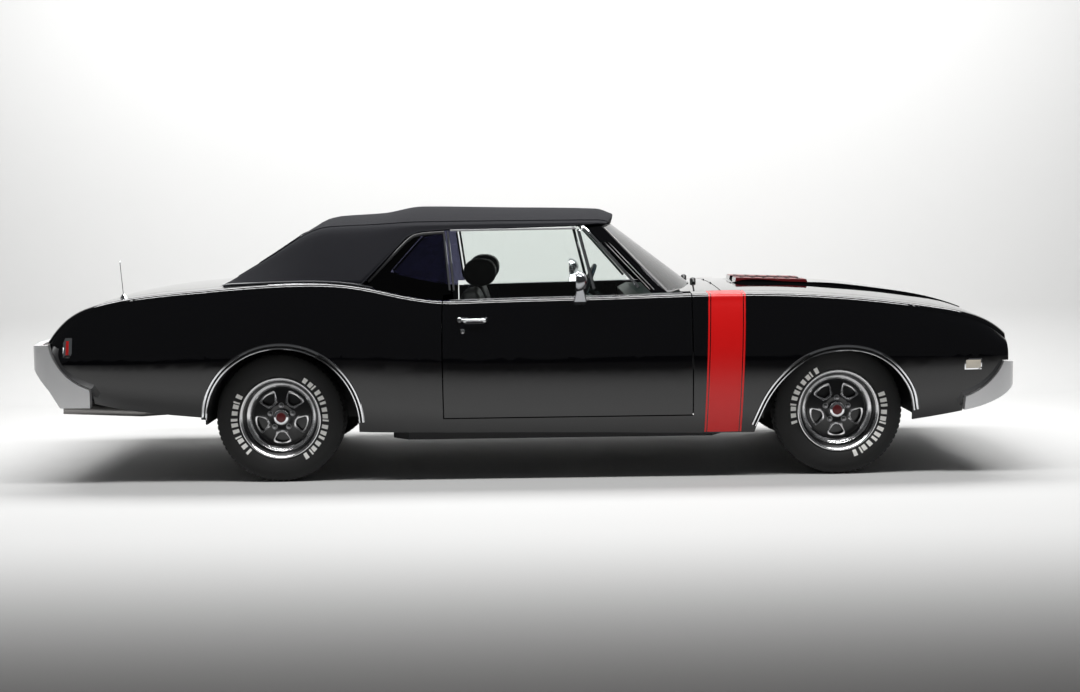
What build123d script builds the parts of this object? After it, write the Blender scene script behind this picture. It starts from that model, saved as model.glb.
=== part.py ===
from build123d import *
from collections import namedtuple
from math import cos, radians, sin
import os

os.makedirs("parts", exist_ok=True)

# ---------------------------------------------------------------------------
# Frame: +X towards the nose, +Y towards the car's left, +Z up, millimetres.
# The origin is on the ground, in the middle of the length and the width.
# ---------------------------------------------------------------------------

# ---- driving dimensions ----
WHEELBASE = 2845.0
FRONT_OVERHANG = 961.0
REAR_OVERHANG = 1315.0
LENGTH = WHEELBASE + FRONT_OVERHANG + REAR_OVERHANG
REAR_AXLE_X = REAR_OVERHANG - LENGTH / 2
FRONT_AXLE_X = REAR_AXLE_X + WHEELBASE
TRACK = 1499.0
REACH = 1280.0  # how far past the middle a cutter across the car runs
GAP = 6.0  # shut line round a door or a lid
FIT = 0.3  # pieces that nearly touch

# ---- wheels ----
TYRE_R = 328.0
TYRE_W = 215.0
BEAD_R = 190.0
RIM_W = 188.0
RIM_FLANGE_R = 208.0
HUB_BORE_R = 34.0
WINDOW_COUNT = 5

# ---- steering ----
KINGPIN_Y = TRACK / 2 - 60
STEER_ARM = 150.0
STEER_ARM_Z = TYRE_R - 40
STEER_ARM_IN = 85.0
BALL_R = 12.0
LINK_CLEARANCE = 5.0
LINK_R = 11.0
LINK_Z = STEER_ARM_Z - LINK_CLEARANCE - 16

# ---- exhaust ----
EXHAUST_Y = 330.0
EXHAUST_R = 28.0
EXHAUST_BORE_R = 26.0
EXHAUST_LOW_Z = 205.0
EXHAUST_IN_Y = 288.3
EXHAUST_TIP_BORE = 120.0

# ---- body ----
SKIN = 16.0  # fender, quarter, hood and deck lid walls
DOOR_INNER_Y = 842.0  # flat inner face of doors and rear cabin walls
HOOD_HALF = 740.0
DECK_HALF = 700.0
CABIN_HALF = 832.0
SHOULDER_R = 30.0
DOOR_FRONT_X = FRONT_AXLE_X - 750.0
DOOR_LENGTH = 1254.0
DOOR_BOTTOM_Z = 328.0
COWL_FRONT_X = FRONT_AXLE_X - 590.0
HOOD_FRONT_X = FRONT_AXLE_X + 802.0
DECK_FRONT_X = REAR_AXLE_X - 312.0
DECK_REAR_X = REAR_AXLE_X - 1142.0
BELT_Z = 945.0

REAR_ARCH_R = 387.0
REAR_ARCH_DX = 22.0
REAR_ARCH_Z = 303.0
# Front arch from its rear foot to its front foot: x from the axle, z.
FRONT_ARCH = [
    (-440, 214),
    (-362, 404),
    (-290, 502),
    (-195, 583),
    (-100, 626),
    (16, 642),
    (133, 627),
    (227, 582),
    (298, 510),
    (346, 424),
    (366, 330),
    (372, 240),
]

# Cross-sections of the body. x is measured from the axle named; widths are half widths.
BodyRow = namedtuple(
    "BodyRow", "axle_x dx bottom_z sill_w wide_w wide_z shoulder_w shoulder_z crown_z"
)
BODY = [
    BodyRow(REAR_AXLE_X, -1192, 500, 790, 868, 620, 832, 703, 714),
    BodyRow(REAR_AXLE_X, -1128, 470, 806, 886, 620, 842, 793, 808),
    BodyRow(REAR_AXLE_X, -1040, 440, 822, 904, 620, 852, 868, 888),
    BodyRow(REAR_AXLE_X, -895, 405, 845, 925, 620, 866, 922, 944),
    BodyRow(REAR_AXLE_X, -400, 343, 880, 958, 630, 884, 985, 1004),
    BodyRow(REAR_AXLE_X, 126, 290, 898, 972, 635, 892, 1014, 1032),
    BodyRow(REAR_AXLE_X, 390, 262, 904, 970, 632, 890, 998, 1018),
    BodyRow(REAR_AXLE_X, 628, 256, 908, 966, 622, 893, 948, 968),
    BodyRow(REAR_AXLE_X, 820, 253, 910, 963, 612, 898, 918, 938),
    BodyRow(REAR_AXLE_X, 1010, 251, 910, 961, 606, 900, 917, 938),
    BodyRow(FRONT_AXLE_X, -1100, 240, 908, 958, 600, 902, 928, 950),
    BodyRow(FRONT_AXLE_X, -400, 232, 902, 956, 600, 894, 935, 958),
    BodyRow(FRONT_AXLE_X, 50, 250, 892, 952, 600, 884, 909, 937),
    BodyRow(FRONT_AXLE_X, 500, 300, 868, 934, 600, 864, 851, 880),
    BodyRow(FRONT_AXLE_X, 740, 345, 846, 908, 600, 840, 788, 816),
    BodyRow(FRONT_AXLE_X, 855, 380, 826, 878, 600, 812, 712, 740),
]


def body_skin(inset, drop=0.0):
    """The body's outer form, smooth along its length, or a smaller copy of it inside."""
    with BuildPart() as skin:
        for row in BODY:
            bottom = row.bottom_z
            sill = row.sill_w - inset
            wide = row.wide_w - inset
            top_w = row.shoulder_w - inset
            top_z = row.shoulder_z - inset
            bend = 0.293 * SHOULDER_R
            with BuildSketch(Plane.YZ.offset(row.axle_x + row.dx)):
                with BuildLine():
                    side = TangentArc(
                        (wide, row.wide_z), (top_w, top_z - SHOULDER_R), tangent=(0, 1)
                    )
                    tuck = TangentArc((wide, row.wide_z), (sill, bottom), tangent=(0, -1))
                    edge = ThreePointArc(
                        side @ 1, (top_w - bend, top_z - bend), (top_w - SHOULDER_R, top_z)
                    )
                    mirror([side, tuck, edge], about=Plane.YZ)
                    ThreePointArc(
                        edge @ 1, (0, row.crown_z - inset), (SHOULDER_R - top_w, top_z)
                    )
                    Polyline(
                        (sill, bottom),
                        (sill, bottom - drop),
                        (-sill, bottom - drop),
                        (-sill, bottom),
                    )
                make_face()
        loft()
    return skin.part


OUTER = body_skin(0.0, drop=1.0)
INNER = body_skin(SKIN, drop=60.0)
END_X = LENGTH / 2
with BuildPart() as shell:
    add(OUTER)
    add(INNER, mode=Mode.SUBTRACT)
SHELL = shell.part

# ---- bumpers: a side profile crossed with a plan outline ----
BUMPER_HALF = 936.0
BUMPER_BLADE = 46.0
BUMPER_CORNER_R = 120.0


# Side view of the joint between each bumper and the body: low end, middle, top end.
FRONT_SEAM = [(630, 398), (760, 478), (826, 575)]
REAR_SEAM = [(-944, 494), (-1075, 575), (-1150, 723)]


def from_axle(axle_x, points):
    """The same points, measured from the origin."""
    return [(axle_x + dx, z) for dx, z in points]


def front_bumper_side():
    """Side view of the front bumper, as a sketch on the middle plane."""
    with BuildSketch(Plane.XZ) as side:
        with BuildLine():
            seam = ThreePointArc(*from_axle(FRONT_AXLE_X, FRONT_SEAM))
            nose = ThreePointArc(*from_axle(FRONT_AXLE_X, [(932, 563), (966, 526), (934, 492)]))
            under = ThreePointArc(nose @ 1, *from_axle(FRONT_AXLE_X, [(800, 390), (622, 332)]))
            Line(seam @ 1, nose @ 0)
            Line(under @ 1, seam @ 0)
        make_face()
    return side.sketch


def rear_bumper_side():
    """Side view of the rear bumper, as a sketch on the middle plane."""
    with BuildSketch(Plane.XZ) as side:
        with BuildLine():
            seam = ThreePointArc(*from_axle(REAR_AXLE_X, REAR_SEAM))
            top = ThreePointArc(*from_axle(REAR_AXLE_X, [(-1272, 716), (-1304, 707), (-1316, 682)]))
            back = ThreePointArc(top @ 1, *from_axle(REAR_AXLE_X, [(-1236, 590), (-1150, 490)]))
            Line(seam @ 1, top @ 0)
            Polyline(back @ 1, *from_axle(REAR_AXLE_X, [(-1098, 403), (-944, 403)]), seam @ 0)
        make_face()
    return side.sketch


def bumper_plan(end_x, toward):
    """Plan outline of a bumper whose middle is at end_x, as a band on the ground plane."""
    corner_x = end_x - toward * 82
    back_x = end_x - toward * 480
    with BuildSketch(Plane.XY) as plan:
        with BuildLine():
            Polyline(
                (corner_x, BUMPER_HALF - 22),
                (back_x, BUMPER_HALF),
                (back_x, -BUMPER_HALF),
                (corner_x, 22 - BUMPER_HALF),
            )
            ThreePointArc(
                (corner_x, 22 - BUMPER_HALF), (end_x, 0), (corner_x, BUMPER_HALF - 22)
            )
        make_face()
        corners = plan.vertices().group_by(Axis.X)[-1 if toward > 0 else 0]
        fillet(corners, BUMPER_CORNER_R)
        offset(amount=-BUMPER_BLADE, mode=Mode.SUBTRACT)
    return plan.sketch


with BuildPart() as front_bumper:
    extrude(front_bumper_side(), amount=REACH, both=True)
    extrude(bumper_plan(END_X, 1), amount=REACH, both=True, mode=Mode.INTERSECT)
front_bumper.part.label = "front_bumper"
export_step(front_bumper.part, "parts/front_bumper.step")

with BuildPart() as rear_bumper:
    extrude(rear_bumper_side(), amount=REACH, both=True)
    extrude(bumper_plan(-END_X, -1), amount=REACH, both=True, mode=Mode.INTERSECT)
rear_bumper.part.label = "rear_bumper"
export_step(rear_bumper.part, "parts/rear_bumper.step")

# What the bumpers take out of the body: all that lies outside their inner curve.
BUMPER_FIT = 3.0
with BuildPart() as bumper_space:
    for axle_x, seam_points, toward in (
        (FRONT_AXLE_X, FRONT_SEAM, 1),
        (REAR_AXLE_X, REAR_SEAM, -1),
    ):
        seam_line = from_axle(axle_x - toward * BUMPER_FIT, seam_points)
        low, _, high = seam_line
        top_z = high[1] + BUMPER_FIT
        far_x = toward * LENGTH
        with BuildSketch(Plane.XZ):
            with BuildLine():
                ThreePointArc(*seam_line)
                Polyline(high, (high[0], top_z), (far_x, top_z), (far_x, 0), (low[0], 0), low)
            make_face()
        extrude(amount=REACH, both=True)
BUMPER_SPACE = bumper_space.part

# ---- wheel arches, as cutters through both sides ----
with BuildPart() as arch_space:
    with BuildSketch(Plane.XZ):
        with Locations((REAR_AXLE_X + REAR_ARCH_DX, REAR_ARCH_Z)):
            Circle(REAR_ARCH_R)
            Rectangle(2 * REAR_ARCH_R, REAR_ARCH_Z, align=(Align.CENTER, Align.MAX))
    with BuildSketch(Plane.XZ):
        with BuildLine():
            front_arch = Spline(*from_axle(FRONT_AXLE_X, FRONT_ARCH))
            Polyline(
                front_arch @ 1,
                ((front_arch @ 1).X, 0),
                ((front_arch @ 0).X, 0),
                front_arch @ 0,
            )
        make_face()
    extrude(amount=REACH, both=True)
ARCH_SPACE = arch_space.part

# ---- doors swing about a vertical pin near the widest skin ----
HINGE_X = DOOR_FRONT_X + GAP / 2
HINGE_Y = 957.0
HINGE_R = 3.6  # pins of doors, hood and deck lid, each in its shut line
HINGE_BORE_R = HINGE_R + FIT
DOOR_PIN_Z = 560.0
DOOR_PIN_L = 90.0
LID_PIN_Y = 200.0
LID_PIN_L = 70.0
HOOD_PIN = (COWL_FRONT_X + GAP / 2, 960.0)
DECK_PIN = (DECK_FRONT_X + GAP / 2, 1010.5)
DOOR_SHUT_R = DOOR_LENGTH + GAP / 2


def shut_disc(radius, height=1400.0):
    """Upright disc about the right hinge, whose rim is the door's rear shut face."""
    with BuildPart() as disc:
        with BuildSketch(Plane.XY):
            with Locations((HINGE_X, -HINGE_Y)):
                Circle(radius)
        extrude(amount=height)
    return disc.part


def lid_pins(place, radius):
    """Two short cylinders across the car, on the hinge line of the hood or the deck lid."""
    with BuildPart() as pins:
        for side in (-1, 1):
            with BuildSketch(Plane.XZ.offset(side * LID_PIN_Y - LID_PIN_L / 2)):
                with Locations(place):
                    Circle(radius)
            extrude(amount=LID_PIN_L)
    return pins.part


with BuildPart() as door_right:
    add(OUTER)
    with BuildSketch(Plane.XZ.offset(DOOR_INNER_Y)):
        with BuildLine():
            Polyline(
                (DOOR_FRONT_X, DOOR_BOTTOM_Z),
                (DOOR_FRONT_X, 1100),
                (DOOR_FRONT_X - DOOR_LENGTH - 60, 1100),
                (DOOR_FRONT_X - DOOR_LENGTH - 60, DOOR_BOTTOM_Z),
                close=True,
            )
        make_face()
    extrude(amount=200, mode=Mode.INTERSECT)
    add(shut_disc(DOOR_SHUT_R), mode=Mode.INTERSECT)
    with BuildSketch(Plane.XY.offset(DOOR_PIN_Z - GAP)):
        with Locations((HINGE_X, -HINGE_Y)):
            Circle(HINGE_BORE_R)
    extrude(amount=DOOR_PIN_L + 2 * GAP, mode=Mode.SUBTRACT)
door_right.part.label = "door_right"
export_step(door_right.part, "parts/door_right.step")

with BuildPart() as door_left:
    add(door_right.part)
    mirror(about=Plane.XZ, mode=Mode.REPLACE)
door_left.part.label = "door_left"
export_step(door_left.part, "parts/door_left.step")

# ---- sills under the doors ----
with BuildPart() as rockers:
    add(OUTER)
    with BuildSketch(Plane.XZ.offset(DOOR_INNER_Y - 60)):
        with BuildLine():
            Polyline(
                (DOOR_FRONT_X + GAP, 0),
                (DOOR_FRONT_X + GAP, DOOR_BOTTOM_Z - GAP),
                (DOOR_FRONT_X - DOOR_LENGTH - GAP, DOOR_BOTTOM_Z - GAP),
                (DOOR_FRONT_X - DOOR_LENGTH - GAP, 0),
                close=True,
            )
        make_face()
    extrude(amount=300, mode=Mode.INTERSECT)
    mirror(about=Plane.XZ)
rockers.part.label = "rockers"
export_step(rockers.part, "parts/rockers.step")

# ---- front fenders ----
with BuildPart() as fenders:
    add(SHELL)
    with BuildSketch(Plane.XY):
        with BuildLine():
            Polyline(
                (DOOR_FRONT_X + GAP, -1100),
                (DOOR_FRONT_X + GAP, -HOOD_HALF - GAP),
                (FRONT_AXLE_X + 900, -HOOD_HALF - GAP),
                (FRONT_AXLE_X + 900, -1100),
                close=True,
            )
        make_face()
    extrude(amount=1400, mode=Mode.INTERSECT)
    add(ARCH_SPACE, mode=Mode.SUBTRACT)
    add(BUMPER_SPACE, mode=Mode.SUBTRACT)
    with BuildSketch(Plane.XY.offset(DOOR_PIN_Z)):
        with Locations((HINGE_X, -HINGE_Y)):
            Circle(HINGE_R)
    extrude(amount=DOOR_PIN_L)
    mirror(about=Plane.XZ)
fenders.part.label = "fenders"
export_step(fenders.part, "parts/fenders.step")

# ---- rear quarters, welded to the panel between the top and the deck lid ----
CABIN_REAR_X = REAR_AXLE_X - 232.0
QUARTER_FRONT_X = DOOR_FRONT_X - DOOR_LENGTH - 60
REAR_WALL_X = REAR_AXLE_X + 440.0
with BuildPart() as cabin_side:
    add(OUTER)
    with BuildSketch(Plane.XZ.offset(DOOR_INNER_Y)):
        with BuildLine():
            Polyline(
                (REAR_WALL_X, 0),
                (REAR_WALL_X, 1200),
                (DOOR_FRONT_X, 1200),
                (DOOR_FRONT_X, 0),
                close=True,
            )
        make_face()
    extrude(amount=200, mode=Mode.INTERSECT)

with BuildPart() as quarter_panels:
    add(SHELL)
    with BuildSketch(Plane.XY):
        with BuildLine():
            Polyline(
                (REAR_AXLE_X - 1192, -1100),
                (REAR_AXLE_X - 1192, -DECK_HALF - GAP),
                (DECK_FRONT_X + GAP, -DECK_HALF - GAP),
                (DECK_FRONT_X + GAP, 0),
                (CABIN_REAR_X, 0),
                (CABIN_REAR_X, -CABIN_HALF),
                (DOOR_FRONT_X, -CABIN_HALF),
                (DOOR_FRONT_X, -1100),
                close=True,
            )
        make_face()
    extrude(amount=1400, mode=Mode.INTERSECT)
    add(cabin_side.part)
    add(shut_disc(DOOR_SHUT_R + GAP), mode=Mode.SUBTRACT)
    with BuildSketch(Plane.XZ):
        with BuildLine():
            Polyline(
                (DOOR_FRONT_X, 0),
                (DOOR_FRONT_X, DOOR_BOTTOM_Z - GAP),
                (DOOR_FRONT_X - DOOR_LENGTH - GAP, DOOR_BOTTOM_Z - GAP),
                (DOOR_FRONT_X - DOOR_LENGTH - GAP, 0),
                close=True,
            )
        make_face()
    extrude(amount=1100, mode=Mode.SUBTRACT)
    add(ARCH_SPACE, mode=Mode.SUBTRACT)
    add(BUMPER_SPACE, mode=Mode.SUBTRACT)
    mirror(about=Plane.XZ)
    add(lid_pins(DECK_PIN, HINGE_R))
quarter_panels.part.label = "quarter_panels"
export_step(quarter_panels.part, "parts/quarter_panels.step")

# ---- hood with its raised middle and louvres ----
HOOD_LOW_Z = 690.0  # under the hood's front edge, above the tuck of the nose's sides
BULGE_HALF = 235.0
BULGE_T = 20.0
# Top line of the raised middle: x from the front axle, z.
BULGE_TOP = [
    (-475, 957),
    (-430, 969),
    (-200, 963),
    (50, 951),
    (300, 921),
    (500, 889),
    (700, 836),
    (762, 812),
]
LOUVRE_Y = 148.0
LOUVRE_DX = -255.0
LOUVRE_BOX_W = 160.0
LOUVRE_BOX = [(-456, 948), (-448, 984), (-66, 970), (-54, 934)]
with BuildPart() as hood:
    add(SHELL)
    with BuildSketch(Plane.XY.offset(HOOD_LOW_Z)):
        with BuildLine():
            Polyline(
                (COWL_FRONT_X + GAP, -HOOD_HALF),
                (HOOD_FRONT_X, -HOOD_HALF),
                (HOOD_FRONT_X, HOOD_HALF),
                (COWL_FRONT_X + GAP, HOOD_HALF),
                close=True,
            )
        make_face()
    extrude(amount=1400, mode=Mode.INTERSECT)
    with BuildSketch(Plane.XZ):
        with BuildLine():
            over = Spline(*from_axle(FRONT_AXLE_X, BULGE_TOP))
            under = Spline(*from_axle(FRONT_AXLE_X, [(dx, z - BULGE_T) for dx, z in BULGE_TOP]))
            Line(over @ 0, under @ 0)
            Line(over @ 1, under @ 1)
        make_face()
    extrude(amount=BULGE_HALF, both=True)
    for side in (-1, 1):
        with BuildSketch(Plane.XZ.offset(side * LOUVRE_Y)):
            with BuildLine():
                Polyline(*from_axle(FRONT_AXLE_X, LOUVRE_BOX), close=True)
            make_face()
        extrude(amount=LOUVRE_BOX_W / 2, both=True)
    with BuildSketch(Plane.XY.offset(900)):
        with Locations((FRONT_AXLE_X + LOUVRE_DX, 0)):
            with GridLocations(62, 2 * LOUVRE_Y, 6, 2):
                SlotOverall(132, 22, rotation=90)
    extrude(amount=140, mode=Mode.SUBTRACT)
    add(lid_pins(HOOD_PIN, HINGE_BORE_R), mode=Mode.SUBTRACT)
hood.part.label = "hood"
export_step(hood.part, "parts/hood.step")

# ---- cowl between hood and windshield ----
COWL_REAR_X = DOOR_FRONT_X - 40.0
with BuildPart() as cowl:
    add(SHELL)
    with BuildSketch(Plane.XY):
        with BuildLine():
            Polyline(
                (COWL_REAR_X, -HOOD_HALF),
                (COWL_FRONT_X, -HOOD_HALF),
                (COWL_FRONT_X, HOOD_HALF),
                (COWL_REAR_X, HOOD_HALF),
                close=True,
            )
        make_face()
    extrude(amount=1400, mode=Mode.INTERSECT)
    add(lid_pins(HOOD_PIN, HINGE_R))
cowl.part.label = "cowl"
export_step(cowl.part, "parts/cowl.step")

# ---- deck lid ----
with BuildPart() as decklid:
    add(SHELL)
    with BuildSketch(Plane.XY):
        with BuildLine():
            Polyline(
                (DECK_REAR_X, -DECK_HALF),
                (DECK_FRONT_X, -DECK_HALF),
                (DECK_FRONT_X, DECK_HALF),
                (DECK_REAR_X, DECK_HALF),
                close=True,
            )
        make_face()
    extrude(amount=1400, mode=Mode.INTERSECT)
    add(lid_pins(DECK_PIN, HINGE_BORE_R), mode=Mode.SUBTRACT)
decklid.part.label = "decklid"
export_step(decklid.part, "parts/decklid.step")

# ---- nose: a lip ahead of the hood and the panel that holds lamps and grille ----
NOSE_X = FRONT_AXLE_X + 810.0
NOSE_T = 18.0
LAMP_Z = 626.0
LAMP_R = 70.0
LAMP_Y = (594.0, 762.0)
GRILLE_HALF = 500.0
GRILLE_BAR = 52.0
with BuildPart() as nose_panel:
    add(INNER)
    with BuildSketch(Plane.YZ.offset(NOSE_X)):
        with Locations((0, 640)):
            Rectangle(2 * 846, 480)
    extrude(amount=NOSE_T, mode=Mode.INTERSECT)
    with BuildSketch(Plane.YZ.offset(NOSE_X - 1)):
        for y in LAMP_Y:
            with Locations((y, LAMP_Z), (-y, LAMP_Z)):
                Circle(LAMP_R)
        for side in (-1, 1):
            middle = side * (GRILLE_HALF + GRILLE_BAR) / 2
            with Locations((middle, LAMP_Z)):
                RectangleRounded(GRILLE_HALF - GRILLE_BAR, 128, 20)
    extrude(amount=NOSE_T + 2, mode=Mode.SUBTRACT)
with BuildPart() as nose_lip:
    add(SHELL)
    with BuildSketch(Plane.XY.offset(640)):
        with BuildLine():
            Polyline(
                (HOOD_FRONT_X + GAP, -HOOD_HALF - GAP),
                (FRONT_AXLE_X + 900, -HOOD_HALF - GAP),
                (FRONT_AXLE_X + 900, HOOD_HALF + GAP),
                (HOOD_FRONT_X + GAP, HOOD_HALF + GAP),
                close=True,
            )
        make_face()
    extrude(amount=400, mode=Mode.INTERSECT)
    add(nose_panel.part)
nose_lip.part.label = "nose_panel"
export_step(nose_lip.part, "parts/nose_panel.step")

# ---- grille: bars in each of the two openings ----
with BuildPart() as grille:
    with BuildSketch(Plane.YZ.offset(NOSE_X + 1)):
        for side in (-1, 1):
            middle = side * (GRILLE_HALF + GRILLE_BAR) / 2
            with Locations((middle, LAMP_Z)):
                RectangleRounded(GRILLE_HALF - GRILLE_BAR, 128, 20)
                RectangleRounded(GRILLE_HALF - GRILLE_BAR - 20, 108, 12, mode=Mode.SUBTRACT)
                with GridLocations(0, 18, 1, 6):
                    Rectangle(GRILLE_HALF - GRILLE_BAR - 10, 6)
                with GridLocations(86, 0, 5, 1):
                    Rectangle(5, 120)
    extrude(amount=NOSE_T - 4)
grille.part.label = "grille"
export_step(grille.part, "parts/grille.step")

# ---- headlamps ----
with BuildPart() as headlamps:
    for y in (*LAMP_Y, -LAMP_Y[0], -LAMP_Y[1]):
        with BuildSketch(Plane((NOSE_X, y, LAMP_Z), x_dir=(1, 0, 0), z_dir=(0, 0, 1))):
            with BuildLine():
                Polyline((29, 0), (-60, 0), (-60, 30), (0, LAMP_R), (12, LAMP_R))
                TangentArc((29, 0), (12, LAMP_R), tangent=(0, 1))
            make_face()
        revolve(axis=Axis((NOSE_X, y, LAMP_Z), (1, 0, 0)))
headlamps.part.label = "headlamps"
export_step(headlamps.part, "parts/headlamps.step")

# ---- tail panel, tail lamps ----
TAIL_X = REAR_AXLE_X - 1186.0
TAIL_LAMP_Y = 700.0
TAIL_LAMP_W = 190.0
TAIL_LAMP_H = 92.0
TAIL_LAMP_Z = 628.0
with BuildPart() as tail_panel:
    add(INNER)
    with BuildSketch(Plane.YZ.offset(TAIL_X)):
        with Locations((0, 620)):
            Rectangle(2 * 800, 300)
    extrude(amount=18, mode=Mode.INTERSECT)
    with BuildSketch(Plane.YZ.offset(TAIL_X - 1)):
        with Locations((-TAIL_LAMP_Y, TAIL_LAMP_Z), (TAIL_LAMP_Y, TAIL_LAMP_Z)):
            RectangleRounded(TAIL_LAMP_W, TAIL_LAMP_H, 14)
    extrude(amount=20, mode=Mode.SUBTRACT)
with BuildPart() as tail_lip:
    add(SHELL)
    with BuildSketch(Plane.XY.offset(640)):
        with BuildLine():
            Polyline(
                (DECK_REAR_X - GAP, -DECK_HALF - GAP),
                (REAR_AXLE_X - 1192, -DECK_HALF - GAP),
                (REAR_AXLE_X - 1192, DECK_HALF + GAP),
                (DECK_REAR_X - GAP, DECK_HALF + GAP),
                close=True,
            )
        make_face()
    extrude(amount=1400, mode=Mode.INTERSECT)
    add(tail_panel.part)
tail_lip.part.label = "tail_panel"
export_step(tail_lip.part, "parts/tail_panel.step")

with BuildPart() as tail_lamps:
    with BuildSketch(Plane.YZ.offset(TAIL_X - 8)):
        with Locations((-TAIL_LAMP_Y, TAIL_LAMP_Z), (TAIL_LAMP_Y, TAIL_LAMP_Z)):
            RectangleRounded(TAIL_LAMP_W, TAIL_LAMP_H, 14)
    extrude(amount=26)
tail_lamps.part.label = "tail_lamps"
export_step(tail_lamps.part, "parts/tail_lamps.step")

# ---- windshield: a curved band lofted from its base to the header ----
SCREEN_BASE_Z = 948.0
SCREEN_TOP_Z = 1284.0
# columns: x of the middle, x of the corner, half width
ScreenRow = namedtuple("ScreenRow", "z mid_x corner_x half")
SCREEN = [
    ScreenRow(SCREEN_BASE_Z, DOOR_FRONT_X + 74, DOOR_FRONT_X - 124, 752),
    ScreenRow(SCREEN_TOP_Z, DOOR_FRONT_X - 363, DOOR_FRONT_X - 437, 570),
]


def screen_band(front, back, wider, extra_z=0.0):
    """A curved sheet along the windshield, between two offsets from its outer face."""
    with BuildPart() as band:
        for row, rise in zip(SCREEN, (-extra_z, extra_z)):
            half = row.half + wider
            lean = (SCREEN[0].mid_x - SCREEN[1].mid_x) / (SCREEN_TOP_Z - SCREEN_BASE_Z)
            shift = -lean * rise
            with BuildSketch(Plane.XY.offset(row.z + rise)):
                with BuildLine():
                    ThreePointArc(
                        (row.corner_x + front + shift, -half),
                        (row.mid_x + front + shift, 0),
                        (row.corner_x + front + shift, half),
                    )
                    Line(
                        (row.corner_x + front + shift, half),
                        (row.corner_x + back + shift, half),
                    )
                    ThreePointArc(
                        (row.corner_x + back + shift, half),
                        (row.mid_x + back + shift, 0),
                        (row.corner_x + back + shift, -half),
                    )
                    Line(
                        (row.corner_x + back + shift, -half),
                        (row.corner_x + front + shift, -half),
                    )
                make_face()
        loft(ruled=True)
    return band.part


with BuildPart() as windshield:
    add(screen_band(-4.0, -12.0, 0.0))
    add(OUTER, mode=Mode.SUBTRACT)
windshield.part.label = "windshield"
export_step(windshield.part, "parts/windshield.step")

FRAME_W = 34.0
FRAME_DEPTH = 84.0
FRAME_HEADER = 10.0
with BuildPart() as windshield_frame:
    add(screen_band(0.0, -FRAME_DEPTH, FRAME_W, extra_z=FRAME_HEADER))
    add(screen_band(20.0, -FRAME_DEPTH - 40.0, 0.0), mode=Mode.SUBTRACT)
    add(OUTER, mode=Mode.SUBTRACT)
windshield_frame.part.label = "windshield_frame"
export_step(windshield_frame.part, "parts/windshield_frame.step")

# ---- soft top: a hull over the cabin ----
TOP_T = 12.0
TopRow = namedtuple("TopRow", "dx belt_w rail_w rail_z crown_z inner_dx")
TOP_BASE_Z = 1008.0
TOP = [
    TopRow(-282, 700, 640, 1016, 1024, 22),
    TopRow(-60, 800, 640, 1140, 1176, 14),
    TopRow(140, 838, 634, 1258, 1308, 8),
    TopRow(186, 839, 632, 1274, 1334, 4),
    TopRow(240, 840, 630, 1284, 1346, 0),
    TopRow(480, 840, 628, 1292, 1360, 0),
    TopRow(690, 836, 628, 1298, 1393, 0),
    TopRow(1120, 826, 626, 1300, 1383, 0),
    TopRow(1650, 810, 612, 1299, 1368, 0),
    TopRow(1740, 804, 600, 1294, 1337, 0),
]
TOP_FRONT_X = REAR_AXLE_X + 1736.0
TOP_FRONT_SWEEP = 60.0


def top_hull(inset):
    """The soft top's form as a closed hull down to the belt, or a smaller copy inside."""
    with BuildPart() as hull:
        for row in TOP:
            moved = row.inner_dx * inset / TOP_T
            belt = row.belt_w - inset
            rail = row.rail_w - inset
            rail_z = row.rail_z - inset * 0.6
            crown = row.crown_z - inset
            corner_z = rail_z + 0.6 * (crown - rail_z)
            base_z = TOP_BASE_Z - 2 * inset
            with BuildSketch(Plane.YZ.offset(REAR_AXLE_X + row.dx + moved)):
                with BuildLine():
                    side = Line((belt, base_z), (rail, rail_z))
                    roll = ThreePointArc(
                        side @ 1, (rail - 22, corner_z - 6), (rail - 75, corner_z + 6)
                    )
                    mirror([side, roll], about=Plane.YZ)
                    ThreePointArc(roll @ 1, (0, crown), (75 - rail, corner_z + 6))
                    Line((belt, base_z), (-belt, base_z))
                make_face()
        loft(ruled=True)
        with BuildSketch(Plane.XY):
            with BuildLine():
                front_x = TOP_FRONT_X - inset
                half = TOP[0].belt_w - 60
                ThreePointArc(
                    (front_x - TOP_FRONT_SWEEP, -half), (front_x, 0), (front_x - TOP_FRONT_SWEEP, half)
                )
                Polyline(
                    (front_x - TOP_FRONT_SWEEP, half),
                    (front_x - TOP_FRONT_SWEEP, 1000),
                    (-END_X, 1000),
                    (-END_X, -1000),
                    (front_x - TOP_FRONT_SWEEP, -1000),
                    (front_x - TOP_FRONT_SWEEP, -half),
                )
            make_face()
        extrude(amount=1400, mode=Mode.INTERSECT)
    return hull.part


SIDE_OPENING = [
    (REAR_AXLE_X + 425, 1000),
    (REAR_AXLE_X + 647, 1235),
    (REAR_AXLE_X + 709, 1262),
    (REAR_AXLE_X + 850, 1272),
    (REAR_AXLE_X + 1480, 1284),
    (REAR_AXLE_X + 1640, 1292),
    (REAR_AXLE_X + 1900, 1292),
    (REAR_AXLE_X + 1900, 900),
    (REAR_AXLE_X + 425, 900),
]
REAR_PANE = Plane(
    (REAR_AXLE_X - 30, 0, 1180), x_dir=(0, 1, 0), z_dir=(-sin(radians(33)), 0, cos(radians(33)))
)
with BuildPart() as soft_top:
    add(top_hull(0.0))
    add(top_hull(TOP_T), mode=Mode.SUBTRACT)
    add(windshield_frame.part, mode=Mode.SUBTRACT)
    with BuildSketch(Plane.XZ):
        with BuildLine():
            Polyline(*SIDE_OPENING, close=True)
        make_face()
    extrude(amount=1100, both=True, mode=Mode.SUBTRACT)
    with BuildSketch(REAR_PANE.offset(-120)):
        RectangleRounded(920, 250, 40)
    extrude(amount=240, mode=Mode.SUBTRACT)
    add(OUTER, mode=Mode.SUBTRACT)
soft_top.part.label = "soft_top"
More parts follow.
